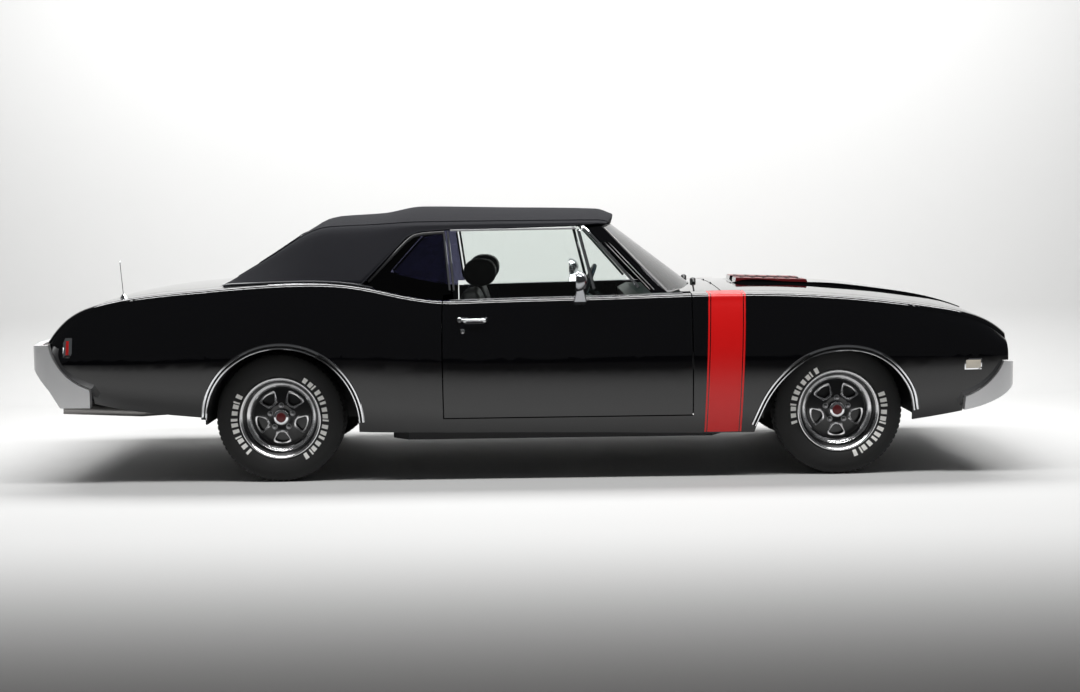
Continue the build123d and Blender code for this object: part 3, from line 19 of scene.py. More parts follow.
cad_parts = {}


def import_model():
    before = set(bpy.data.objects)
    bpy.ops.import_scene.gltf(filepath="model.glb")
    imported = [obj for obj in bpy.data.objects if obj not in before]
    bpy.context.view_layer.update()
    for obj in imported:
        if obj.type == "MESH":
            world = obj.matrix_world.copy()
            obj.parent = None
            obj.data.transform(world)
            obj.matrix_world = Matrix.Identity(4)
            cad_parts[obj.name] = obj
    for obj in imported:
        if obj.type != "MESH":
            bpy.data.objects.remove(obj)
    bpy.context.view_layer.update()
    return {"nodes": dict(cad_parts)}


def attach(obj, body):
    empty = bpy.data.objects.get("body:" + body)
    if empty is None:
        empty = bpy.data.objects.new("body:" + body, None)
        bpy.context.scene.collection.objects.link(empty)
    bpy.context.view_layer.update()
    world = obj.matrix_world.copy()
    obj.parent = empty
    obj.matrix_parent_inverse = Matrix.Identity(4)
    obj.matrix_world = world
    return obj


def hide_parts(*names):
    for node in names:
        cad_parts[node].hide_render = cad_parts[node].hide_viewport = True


LOG = logging.getLogger("car")

Point = tuple[float, float, float]
Point2 = tuple[float, float]

REAR_X = -1.2455
FRONT_X = 1.5995
WHEEL_Y = 0.7495
WHEEL_Z = 0.328
NOSE_X = 2.4095
TAIL_X = -2.4315
RIGHT = -1.0
LEFT = 1.0
SIDES = (RIGHT, LEFT)
DOORS = ("door_right", "door_left")
SHARP_ANGLE = 40.0  # degrees; edges sharper than this stay sharp
COAT_ROUGHNESS = 0.03
GLASS_IOR = 1.45
GRAIN_DEPTH = 0.0006


class Slot(Enum):
    """Material slots of the record; each finish names one."""

    PAINT = "black_paint"
    IRON = "black_iron"
    PIPE = "pipe_steel"
    CHROME = "chrome"
    RUBBER = "tyre_rubber"
    LAMP = "lamp_glass"
    RED = "red_lens"
    PLASTIC = "black_plastic"
    CLOTH = "top_fabric"
    VINYL = "seat_vinyl"


# ---------------------------------------------------------------------------
# Finishes
# ---------------------------------------------------------------------------


def new_material(name: str) -> bpy.types.Material:
    """Return a new material that uses nodes."""
    made = bpy.data.materials.new(name)
    made.use_nodes = True
    return made


def fade_by_place(
    tree: bpy.types.NodeTree,
    axis: str,
    span: Point2,
    colours: Sequence[Sequence[float]],
    easing: str = "LINEAR",
) -> bpy.types.NodeSocket:
    """Return a colour that changes along one axis of the scene.

    Args:
        tree: The material's node tree.
        axis: X, Y or Z.
        span: Where the change starts and ends.
        colours: The colours before and after it.
        easing: The map range node's interpolation.
    """
    place = tree.nodes.new("ShaderNodeNewGeometry")
    split = tree.nodes.new("ShaderNodeSeparateXYZ")
    fade = tree.nodes.new("ShaderNodeMapRange")
    blend = tree.nodes.new("ShaderNodeMix")
    fade.interpolation_type = easing
    blend.data_type = "RGBA"
    fade.inputs["From Min"].default_value, fade.inputs["From Max"].default_value = span
    blend.inputs["A"].default_value, blend.inputs["B"].default_value = colours
    tree.links.new(place.outputs["Position"], split.inputs["Vector"])
    tree.links.new(split.outputs[axis], fade.inputs["Value"])
    tree.links.new(fade.outputs["Result"], blend.inputs["Factor"])
    return blend.outputs["Result"]


@dataclass(frozen=True)
class Finish:
    """A surface's look, made into one Blender material the first time it is used."""

    name: str
    slot: Slot
    colour: Point
    roughness: float = 0.5
    metallic: float = 0.0
    coat: float = 0.0
    specular: float = 0.5
    transmission: float = 0.0
    grain: float = 0.0
    grain_scale: float = 400.0
    cells: bool = False

    def material(self) -> bpy.types.Material:
        """Return this finish's material, making it once."""
        made = bpy.data.materials.get(self.name)
        if made is not None:
            return made
        made = new_material(self.name)
        shader = made.node_tree.nodes["Principled BSDF"]
        for socket, value in (
            ("Base Color", (*self.colour, 1.0)),
            ("Roughness", self.roughness),
            ("Metallic", self.metallic),
            ("Coat Weight", self.coat),
            ("Coat Roughness", COAT_ROUGHNESS),
            ("Specular IOR Level", self.specular),
            ("Transmission Weight", self.transmission),
        ):
            shader.inputs[socket].default_value = value
        if self.grain > 0.0:
            self._add_grain(made.node_tree, shader)
        return made

    def _add_grain(self, tree: bpy.types.NodeTree, shader: bpy.types.Node) -> None:
        """Bump the surface with this finish's grain.

        Args:
            tree: The material's node tree.
            shader: Its Principled BSDF.
        """
        group = tree.nodes.new("ShaderNodeGroup")
        group.node_tree = grain_group()
        group.inputs["Scale"].default_value = self.grain_scale
        group.inputs["Strength"].default_value = self.grain
        group.inputs["Cells"].default_value = 1.0 if self.cells else 0.0
        tree.links.new(group.outputs["Normal"], shader.inputs["Normal"])


def grain_group() -> bpy.types.NodeTree:
    """Return the shared node group that turns noise or leather cells into a normal."""
    made = bpy.data.node_groups.get("grain")
    if made is not None:
        return made
    made = bpy.data.node_groups.new("grain", "ShaderNodeTree")
    face = made.interface
    for socket in ("Scale", "Strength", "Cells"):
        face.new_socket(socket, in_out="INPUT", socket_type="NodeSocketFloat")
    face.new_socket("Normal", in_out="OUTPUT", socket_type="NodeSocketVector")
    nodes, links = made.nodes, made.links
    inputs = nodes.new("NodeGroupInput")
    outputs = nodes.new("NodeGroupOutput")
    place = nodes.new("ShaderNodeTexCoord")
    noise = nodes.new("ShaderNodeTexNoise")
    cells = nodes.new("ShaderNodeTexVoronoi")
    mix = nodes.new("ShaderNodeMix")
    bump = nodes.new("ShaderNodeBump")
    noise.inputs["Detail"].default_value = 3.0
    bump.inputs["Distance"].default_value = GRAIN_DEPTH
    for texture in (noise, cells):
        links.new(place.outputs["Object"], texture.inputs["Vector"])
        links.new(inputs.outputs["Scale"], texture.inputs["Scale"])
    links.new(inputs.outputs["Cells"], mix.inputs["Factor"])
    links.new(noise.outputs["Fac"], mix.inputs["A"])
    links.new(cells.outputs["Distance"], mix.inputs["B"])
    links.new(mix.outputs["Result"], bump.inputs["Height"])
    links.new(inputs.outputs["Strength"], bump.inputs["Strength"])
    links.new(bump.outputs["Normal"], outputs.inputs["Normal"])
    return made


PAINT = Finish("gloss_black_paint", Slot.PAINT, (0.0015, 0.0015, 0.0022), 0.045, coat=0.5)
STRIPE_RED = Finish("stripe_red", Slot.PAINT, (0.74, 0.006, 0.006), 0.30)
LOUVRE_RED = Finish("louvre_red", Slot.PAINT, (0.16, 0.006, 0.009), 0.35)
# painted shade: the groove between the arch mouldings' bright ribs is coloured near-black
GROOVE_SHADE = Finish("painted_groove_shade", Slot.PLASTIC, (0.002, 0.002, 0.002), 0.9)
UNDERCOAT = Finish("undercoat", Slot.IRON, (0.018, 0.018, 0.019), 0.7, grain=0.4)
PIPE_STEEL = Finish("pipe_steel", Slot.PIPE, (0.28, 0.27, 0.26), 0.35, 1.0)
CHROME = Finish("chrome_plate", Slot.CHROME, (0.93, 0.94, 0.96), 0.05, 1.0)
BUMPER_CHROME = Finish("bumper_chrome", Slot.CHROME, (0.97, 0.97, 0.98), 0.42, 1.0, coat=0.6)
# painted shade: chrome darkened to grey so that the mirrors' reflections come out dim
SHADED_MIRROR_CHROME = Finish("mirror_chrome_with_painted_shade", Slot.CHROME, (0.42, 0.43, 0.45), 0.14, 1.0)
SATIN_METAL = Finish("satin_metal", Slot.CHROME, (0.34, 0.34, 0.35), 0.32, 1.0)
RING_METAL = Finish("ring_metal", Slot.CHROME, (0.88, 0.88, 0.89), 0.20, 1.0)
# the black paint of the wheels' discs; on the brake drums the same near-black is painted shade inside the
# wheels
WHEEL_BLACK_AND_SHADE = Finish("wheel_black_and_drum_shade", Slot.PLASTIC, (0.008, 0.008, 0.009), 0.3, coat=0.5)
TYRE = Finish("tyre_rubber", Slot.RUBBER, (0.007, 0.007, 0.008), 0.62, specular=0.25, grain=0.3)
TYRE_WHITE = Finish("tyre_white", Slot.RUBBER, (0.92, 0.91, 0.88), 0.6)
LENS = Finish("lens_glass", Slot.LAMP, (0.9, 0.92, 0.94), 0.04, transmission=0.6)
RED_LENS = Finish("red_lens", Slot.RED, (0.36, 0.006, 0.006), 0.12, coat=1.0)
PALE_LENS = Finish("pale_lens", Slot.LAMP, (0.72, 0.66, 0.56), 0.25, coat=0.8)
SATIN_BLACK = Finish("satin_black", Slot.PLASTIC, (0.012, 0.012, 0.013), 0.45)
TOP_CLOTH = Finish(
    "top_cloth", Slot.CLOTH, (0.0042, 0.0045, 0.0072), 0.70, specular=0.10, grain=0.9, grain_scale=900.0
)
VINYL = Finish(
    "seat_vinyl", Slot.VINYL, (0.012, 0.012, 0.014), 0.38, grain=0.5, grain_scale=500.0, cells=True
)
CARPET = Finish("carpet", Slot.PLASTIC, (0.010, 0.010, 0.011), 0.95, grain=1.0)
GAUGE = Finish("gauge_face", Slot.PLASTIC, (0.03, 0.03, 0.03), 0.3)


@dataclass(frozen=True)
class TintedGlass:
    """Thin automotive glass: mostly see-through, with a Fresnel reflection and perhaps a darker top band."""

    name: str
    tint: Point
    clear: float = 0.92
    band: Point | None = None
    band_z: Point2 = (1.19, 1.25)

    def material(self) -> bpy.types.Material:
        """Return the glass material, making it once."""
        made = bpy.data.materials.get(self.name)
        if made is not None:
            return made
        made = new_material(self.name)
        nodes, links = made.node_tree.nodes, made.node_tree.links
        nodes.clear()
        out = nodes.new("ShaderNodeOutputMaterial")
        mix = nodes.new("ShaderNodeMixShader")
        through = nodes.new("ShaderNodeBsdfTransparent")
        gloss = nodes.new("ShaderNodeBsdfGlossy")
        fresnel = nodes.new("ShaderNodeFresnel")
        fresnel.inputs["IOR"].default_value = GLASS_IOR
        colour = (*(c * self.clear for c in self.tint), 1.0)
        through.inputs["Color"].default_value = colour
        gloss.inputs["Roughness"].default_value = 0.01
        if self.band is not None:
            shaded = fade_by_place(made.node_tree, "Z", self.band_z, (colour, (*self.band, 1.0)))
            links.new(shaded, through.inputs["Color"])
        links.new(fresnel.outputs["Fac"], mix.inputs["Fac"])
        links.new(through.outputs["BSDF"], mix.inputs[1])
        links.new(gloss.outputs["BSDF"], mix.inputs[2])
        links.new(mix.outputs["Shader"], out.inputs["Surface"])
        return made


GREEN_TINT = TintedGlass("green_tint_glass", (0.80, 0.92, 0.87), 0.96, (0.10, 0.22, 0.42))
SIDE_TINT = TintedGlass("side_glass", (0.97, 0.99, 0.98), 0.98)
QUARTER_TINT = TintedGlass("quarter_glass_tint", (0.42, 0.42, 0.55), 0.62)
BACK_TINT = TintedGlass("back_pane", (0.62, 0.64, 0.66))


# ---------------------------------------------------------------------------
# Meshes
# ---------------------------------------------------------------------------


def piece(
    name: str,
    verts: Sequence[Sequence[float]],
    faces: Sequence[Sequence[int]],
    finish: Finish,
    body: str = "body",
    smooth: float = SHARP_ANGLE,
) -> bpy.types.Object:
    """Make a mesh object that rides on a body.

    Args:
        name: The piece's name.
        verts: Corner points.
        faces: Corner numbers of each face.
        finish: Its look.
        body: The body it moves with.
        smooth: Edges sharper than this many degrees stay sharp.

    Returns:
        The new object.
    """
    mesh = bpy.data.meshes.new(name)
    mesh.from_pydata([tuple(v) for v in verts], [], [tuple(f) for f in faces])
    mesh.validate()
    mesh.materials.append(finish.material())
    mesh.shade_smooth()
    mesh.set_sharp_from_angle(angle=math.radians(smooth))
    made = bpy.data.objects.new(name, mesh)
    bpy.context.scene.collection.objects.link(made)
    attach(made, body)
    return made


def grid_faces(rows: int, columns: int, round_columns: bool = False) -> list[tuple[int, ...]]:
    """Return the faces of a grid of points.

    Args:
        rows: Number of rows.
        columns: Points in each row.
        round_columns: Whether the last column joins the first.
    """
    faces = []
    last = columns if round_columns else columns - 1
    for i in range(rows - 1):
        for j in range(last):
            k = (j + 1) % columns
            faces.append((i * columns + j, i * columns + k, (i + 1) * columns + k, (i + 1) * columns + j))
    return faces


@dataclass
class Shape:
    """Points and faces gathered for one piece."""

    verts: list[Vector] = field(default_factory=list)
    faces: list[tuple[int, ...]] = field(default_factory=list)

    def add(self, verts: Iterable[Sequence[float]], faces: Iterable[Sequence[int]]) -> None:
        """Append a mesh's points and faces."""
        base = len(self.verts)
        self.verts.extend(Vector(v) for v in verts)
        self.faces.extend(tuple(base + i for i in f) for f in faces)

    def tube(self, path: Sequence[Sequence[float]], radius: float, sides: int = 10) -> None:
        """Add a round bar along a path, closed at both ends."""
        points = [Vector(p) for p in path]
        up = Vector((0.0, 0.0, 1.0))
        rings = []
        for i, point in enumerate(points):
            along = (points[min(i + 1, len(points) - 1)] - points[max(i - 1, 0)]).normalized()
            across = along.cross(up)
            if across.length < 0.05:
                across = along.cross(Vector((0.0, 1.0, 0.0)))
            across.normalize()
            second = along.cross(across)
            for k in range(sides):
                turn = math.tau * k / sides
                rings.append(point + across * math.cos(turn) * radius + second * math.sin(turn) * radius)
        faces = grid_faces(len(points), sides, True)
        faces.append(tuple(range(sides)))
        faces.append(tuple(range(len(rings) - sides, len(rings))))
        self.add(rings, faces)

    def lathe(
        self,
        centre: Sequence[float],
        axis: Sequence[float],
        profile: Sequence[Point2],
        segments: int = 48,
        closed: bool = False,
    ) -> None:
        """Add a turned shape.

        Args:
            centre: A point on the axis.
            axis: The axis.
            profile: Pairs of radius and distance along the axis.
            segments: Number of steps round.
            closed: Whether the profile's end joins its start.
        """
        origin = Vector(centre)
        way = Vector(axis).normalized()
        side = way.orthogonal().normalized()
        other = way.cross(side)
        verts = []
        for k in range(segments):
            turn = math.tau * k / segments
            out = side * math.cos(turn) + other * math.sin(turn)
            verts.extend(origin + out * r + way * h for r, h in profile)
        count = len(profile)
        faces = []
        for k in range(segments):
            n = (k + 1) % segments
            for j in range(count if closed else count - 1):
                m = (j + 1) % count
                faces.append((k * count + j, k * count + m, n * count + m, n * count + j))
        self.add(verts, faces)

    def slab(self, outline: Sequence[Sequence[float]], thick: Sequence[float]) -> None:
        """Add a plate: an outline in space and the step to its other face."""
        step = Vector(thick)
        near = [Vector(p) for p in outline]
        count = len(near)
        faces: list[tuple[int, ...]] = [tuple(range(count)), tuple(range(2 * count - 1, count - 1, -1))]
        faces.extend((i, (i + 1) % count, (i + 1) % count + count, i + count) for i in range(count))
        self.add(near + [p + step for p in near], faces)

    def box(self, low: Sequence[float], high: Sequence[float]) -> None:
        """Add an upright box between two corners."""
        x0, y0, z0 = low
        x1, y1, z1 = high
        outline = [(x0, y0, z0), (x1, y0, z0), (x1, y1, z0), (x0, y1, z0)]
        self.slab(outline, (0.0, 0.0, z1 - z0))

    def frame(self, x: float, start: Point2, opposite: Point2, radius: float) -> None:
        """Add a rectangular frame of bars across the car, between two corners in y and z."""
        (y0, z0), (y1, z1) = start, opposite
        loop = [(y0, z0), (y1, z0), (y1, z1), (y0, z1), (y0, z0)]
        for (ya, za), (yb, zb) in zip(loop, loop[1:]):
            self.tube([(x, ya, za), (x, yb, zb)], radius, 8)

    def flip(self) -> "Shape":
        """Return the same shape on the car's other side."""
        mirrored = Shape([Vector((v.x, -v.y, v.z)) for v in self.verts], [])
        mirrored.faces = [tuple(reversed(f)) for f in self.faces]
        return mirrored

    def make(
        self, name: str, finish: Finish, body: str = "body", smooth: float = SHARP_ANGLE
    ) -> bpy.types.Object:
        """Make the piece."""
        return piece(name, self.verts, self.faces, finish, body, smooth)

    def make_both(
        self,
        name: str,
        finish: Finish,
        bodies: tuple[str, str] = ("body", "body"),
        smooth: float = SHARP_ANGLE,
    ) -> None:
        """Make the piece on the right and its mirror image on the left."""
        self.make(name + "_right", finish, bodies[0], smooth)
        self.flip().make(name + "_left", finish, bodies[1], smooth)


def spline(points: Sequence[Sequence[float]], steps: int = 8) -> list[Vector]:
    """Return a smooth path through points.

    Args:
        points: The points, of two or three coordinates.
        steps: Points made for each stretch between two of them.
    """
    given = [Vector(p) for p in points]
    ends = [2 * given[0] - given[1], *given, 2 * given[-1] - given[-2]]
    path = []
    for a, b, c, d in zip(ends, ends[1:], ends[2:], ends[3:]):
        for i in range(steps):
            t = i / steps
            path.append(
                0.5 * (2 * b + (c - a) * t + (2 * a - 5 * b + 4 * c - d) * t * t
                       + (3 * b - a - 3 * c + d) * t * t * t)
            )
    path.append(given[-1])
    return path


def resample(path: Sequence[Vector], count: int) -> list[Vector]:
    """Return the same path as evenly spaced points."""
    lengths = [0.0]
    for a, b in zip(path, path[1:]):
        lengths.append(lengths[-1] + (b - a).length)
    made = []
    j = 0
    for i in range(count):
        want = lengths[-1] * i / (count - 1)
        while j < len(path) - 2 and lengths[j + 1] < want:
            j += 1
        span = max(lengths[j + 1] - lengths[j], 1e-9)
        made.append(path[j].lerp(path[j + 1], (want - lengths[j]) / span))
    return made


class Skin:
    """The body's right side and upper skin, for laying trim on them."""

    OUTSIDE_Y = -1.4  # where a search for the side starts
    INNERMOST_Y = -0.78  # a hit further in isn't the side's outer skin
    SIDE_Y = -0.94
    SHOULDER_Y = -0.868  # the middle of the shoulder's rounding
    SHOULDER_DROP = 0.032
    OVER_Z = 1.1  # where a search for the upper skin starts
    TOP_Z = 0.95

    NODES = ("fenders", "quarter_panels", "door_right", "rockers")
    TOP_NODES = (
        "hood", "cowl", "decklid", "quarter_panels", "fenders", "nose_panel", "tail_panel", "door_right",
    )

    def __init__(self, nodes: dict[str, bpy.types.Object]) -> None:
        """Gather the panels' faces.

        Args:
            nodes: The CAD nodes by name.
        """
        self.side = self._tree([nodes[n] for n in self.NODES])
        self.top = self._tree([nodes[n] for n in self.TOP_NODES])

    @staticmethod
    def _tree(panels: Sequence[bpy.types.Object]) -> BVHTree:
        """Return a search tree over some panels."""
        gathered = Shape()
        for panel in panels:
            gathered.add(
                [v.co for v in panel.data.vertices],
                [tuple(p.vertices) for p in panel.data.polygons],
            )
        return BVHTree.FromPolygons(gathered.verts, gathered.faces)

    def at(self, x: float, z: float, lift: float = 0.0) -> Vector:
        """Return the point of the right side at x and z, moved out by lift."""
        hit = self.side.ray_cast(Vector((x, self.OUTSIDE_Y, z)), Vector((0.0, 1.0, 0.0)), 0.8)
        if hit[0] is None or hit[0].y > self.INNERMOST_Y:
            near = self.side.find_nearest(Vector((x, self.SIDE_Y, z)))
            return Vector((x, near[0].y - lift, z))
        return Vector((x, hit[0].y - lift, z))

    def corner(self, x: float, turn: float, lift: float) -> Vector:
        """Return a point of the rounded right shoulder.

        Args:
            x: Its place along the car.
            turn: Degrees up from the side towards the top.
            lift: How far it stands off the paint.
        """
        edge = self.above(x, -0.86)
        centre = Vector((x, self.SHOULDER_Y, edge.z - self.SHOULDER_DROP))
        way = Vector((0.0, -math.cos(math.radians(turn)), math.sin(math.radians(turn))))
        hit = self.top.ray_cast(centre + way * 0.15, -way, 0.2)
        return (hit[0] if hit[0] is not None else centre + way * 0.03) + way * lift

    def above(self, x: float, y: float, lift: float = 0.0) -> Vector:
        """Return the point of the upper skin at x and y, raised by lift."""
        hit = self.top.ray_cast(Vector((x, y, self.OVER_Z)), Vector((0.0, 0.0, -1.0)), 0.6)
        if hit[0] is None:
            near = self.top.find_nearest(Vector((x, y, self.TOP_Z)))
            return Vector((x, y, near[0].z + lift))
        return Vector((x, y, hit[0].z + lift))


# ---------------------------------------------------------------------------
# Sub-assemblies
# ---------------------------------------------------------------------------


class Finishes:
    """Gives every CAD node that stays its finish."""

    PLAN: dict[Finish, tuple[str, ...]] = {
        PAINT: (
            "fenders", "quarter_panels", "rockers", "door_right", "door_left", "hood",
            "decklid", "cowl", "nose_panel", "tail_panel", "windshield_frame",
        ),
        UNDERCOAT: (
            "chassis_frame", "floor_pan", "inner_fenders", "engine", "driveline", "rear_axle",
            "suspension", "knuckle_right", "knuckle_left", "steering_linkage", "fuel_tank",
        ),
        PIPE_STEEL: ("exhaust",),
        BUMPER_CHROME: ("front_bumper", "rear_bumper"),
        # the mirrors' chrome is darkened as painted shade
        SHADED_MIRROR_CHROME: ("mirror_right", "mirror_left"),
        LENS: ("headlamps",),
        RED_LENS: ("tail_lamps",),
        SATIN_BLACK: ("grille", "dashboard", "steering_wheel"),
    }
    GLASS: dict[TintedGlass, tuple[str, ...]] = {
        GREEN_TINT: ("windshield",),
        SIDE_TINT: ("door_glass_right", "door_glass_left"),
        QUARTER_TINT: ("quarter_glass",),
        BACK_TINT: ("rear_window",),
    }

    def __init__(self, nodes: dict[str, bpy.types.Object]) -> None:
        """Keep the nodes."""
        self.nodes = nodes

    def build(self) -> None:
        """Assign the finishes."""
        for plan in (self.PLAN, self.GLASS):
            for finish, names in plan.items():
                for name in names:
                    for slot in self.nodes[name].material_slots:
                        slot.material = finish.material()


@dataclass
class FenderStripe:
    """The red band down each front fender, with a dark gap and a thin line beside it."""

    skin: Skin
    bottom_z: float = 0.236
    top_x: Point2 = (0.936, 1.124)
    bottom_x: Point2 = (0.911, 1.098)
    line_z: Point2 = (0.26, 0.923)  # heights at which bottom_x and top_x hold
    side_top: float = 0.898  # where the side ends and the rounded shoulder starts
    shoulder_z: float = 0.93
    rows: int = 48

    def edge(self, z: float, share: float) -> float:
        """Return x at a height, from the band's rear edge (0) to its front edge (1)."""
        t = (z - self.line_z[0]) / (self.line_z[1] - self.line_z[0])
        rear = self.bottom_x[0] + (self.top_x[0] - self.bottom_x[0]) * t
        front = self.bottom_x[1] + (self.top_x[1] - self.bottom_x[1]) * t
        return rear + (front - rear) * share

    def band(self, low: float, high: float, lift: float, columns: int = 5) -> Shape:
        """Return a strip of the fender's skin between two shares of the band's width.

        Args:
            low: The strip's rear edge.
            high: The strip's front edge.
            lift: How far it stands off the paint.
            columns: Points across it.
        """
        shape = Shape()
        verts = []
        shares = [low + (high - low) * j / (columns - 1) for j in range(columns)]
        for i in range(self.rows):
            z = self.bottom_z + (self.side_top - self.bottom_z) * i / (self.rows - 1)
            verts += [self.skin.at(self.edge(z, share), z, lift) for share in shares]
        xs = [self.edge(self.shoulder_z, share) for share in shares]
        for i in range(1, 9):
            verts += [self.skin.corner(x, 10.0 * i, lift) for x in xs]
        for i in range(1, 14):
            y = self.skin.SHOULDER_Y + 0.116 * i / 13
            verts += [self.skin.above(x, y, lift) for x in xs]
        shape.add(verts, grid_faces(self.rows + 21, columns))
        return shape

    def build(self) -> None:
        """Build both stripes."""
        self.band(0.075, 0.925, 0.0006).make_both("fender_stripe", STRIPE_RED)
        lines = Shape()
        for low, high in ((0.0, 0.05), (0.95, 1.0)):
            strip = self.band(low, high, 0.0006, 2)
            lines.add(strip.verts, strip.faces)
        lines.make_both("stripe_lines", STRIPE_RED)


@dataclass
class ArchTrim:
    """Bright ribbed mouldings round the four wheel arches, with painted shade in the groove between the
    ribs.
    """

    skin: Skin
    width: float = 0.026
    inner_rib: tuple[Point2, ...] = (
        (0.0, -0.010), (0.0, 0.005), (0.003, 0.0085), (0.007, 0.0085), (0.0095, 0.0020),
    )
    groove: tuple[Point2, ...] = ((0.0095, 0.0020), (0.0155, 0.0020))
    outer_rib: tuple[Point2, ...] = ((0.0155, 0.0020), (0.0185, 0.0068), (0.025, 0.0068), (0.0295, 0.0008))
    front_path: tuple[Point2, ...] = (
        (1.172, 0.262), (1.236, 0.404), (1.309, 0.502), (1.404, 0.583), (1.499, 0.625), (1.616, 0.642),
        (1.733, 0.626), (1.827, 0.580), (1.899, 0.508), (1.949, 0.424), (1.972, 0.330),
    )

    def rear_path(self) -> list[Vector]:
        """Return the rear arch's edge, from front to rear."""
        centre, radius = Vector((-1.2235, 0.303)), 0.3875
        made = []
        for i in range(61):
            turn = math.radians(1.0 + 175.0 * i / 60)
            made.append(centre + radius * Vector((math.cos(turn), math.sin(turn))))
        return made

    def moulding(self, path: Sequence[Vector], outward: float, profile: Sequence[Point2]) -> Shape:
        """Return one moulding that follows an arch's edge.

        Args:
            path: The edge in side view.
            outward: 1 if the car's panel lies to the path's left, -1 if to its right.
            profile: Pairs of reach from the edge and lift off the paint.
        """
        shape = Shape()
        verts = []
        for i, point in enumerate(path):
            along = path[min(i + 1, len(path) - 1)] - path[max(i - 1, 0)]
            normal = Vector((-along.y, along.x)).normalized() * outward
            for reach, lift in profile:
                spot = point + normal * reach
                inside = point + normal * max(reach, 0.002)
                foot = self.skin.at(inside.x, inside.y)
                verts.append((spot.x, foot.y - lift, spot.y))
        shape.add(verts, grid_faces(len(path), len(profile)))
        return shape

    def build(self) -> None:
        """Build the mouldings on both sides."""
        front = resample(spline(self.front_path), 60)
        for part, profile, finish in (
            ("inner", self.inner_rib, CHROME),
            # the groove is coloured near-black as painted shade
            ("groove", self.groove, GROOVE_SHADE),
            ("outer", self.outer_rib, CHROME),
        ):
            self.moulding(front, 1.0, profile).make_both(f"front_arch_{part}", finish)
            self.moulding(self.rear_path(), -1.0, profile).make_both(f"rear_arch_{part}", finish)


@dataclass
class SideTrim:
    """Door handles, locks and marker lamps along each side."""

    skin: Skin
    handle_z: float = 0.822
    lock_z: float = 0.765

    def handle(self) -> Shape:
        """Return the door handle: a bar on two feet, and its push button."""
        shape = Shape()
        z, lock_z, outward = self.handle_z, self.lock_z, (0, -1, 0)
        foot = self.skin.at(-0.24, z)
        out = foot.y - 0.026
        bar = spline([(-0.300, foot.y - 0.004, z), (-0.292, out, z), (-0.240, out - 0.003, z + 0.001),
                      (-0.196, out, z), (-0.186, foot.y - 0.004, z)], 6)
        shape.tube(bar, 0.0065)
        button = [(0.0, 0.014), (0.012, 0.013), (0.014, 0.010), (0.014, 0.0)]
        shape.lathe((-0.318, foot.y - 0.001, z), outward, button, 24)
        lock = (-0.303, self.skin.at(-0.303, lock_z).y, lock_z)
        shape.lathe(lock, outward, [(0.0, 0.005), (0.011, 0.004), (0.013, 0.0)], 24)
        for x in (-0.292, -0.194):
            shape.lathe((x, foot.y - 0.0005, z), outward, [(0.0, 0.010), (0.012, 0.008), (0.015, 0.0)], 20)
        return shape

    def framed_lamp(
        self, x: float, z: float, width: float, height: float, margin: float = 0.001
    ) -> tuple[Shape, Shape]:
        """Return a small lamp's bezel and its lens, laid on the skin.

        Args:
            x: The middle.
            z: The middle's height.
            width: Size along the car.
            height: Size up.
            margin: How far the lens stays inside that size.
        """
        bezel, lens = Shape(), Shape()
        for shape, grow, lift, back in ((bezel, 0.006, 0.004, 0.0), (lens, -margin, 0.007, 0.003)):
            half_w, half_h = width / 2 + grow, height / 2 + grow
            rows = []
            for i in range(5):
                for j in range(5):
                    px = x + half_w * (j / 2 - 1)
                    pz = z + half_h * (i / 2 - 1)
                    rim = i in (0, 4) or j in (0, 4)
                    rows.append(self.skin.at(px, pz, back if rim else lift))
            shape.add(rows, grid_faces(5, 5))
        return bezel, lens

    def build(self) -> None:
        """Build the trim on both sides."""
        self.handle().make_both("door_handle", CHROME, DOORS)
        bezel, lens = self.framed_lamp(2.268, 0.563, 0.078, 0.044)
        bezel.make_both("front_marker_bezel", CHROME)
        lens.make_both("front_marker_lens", PALE_LENS)
        bezel, lens = self.framed_lamp(-2.303, 0.706, 0.036, 0.088, 0.009)
        bezel.make_both("rear_marker_bezel", CHROME)
        lens.make_both("rear_marker_lens", RED_LENS)


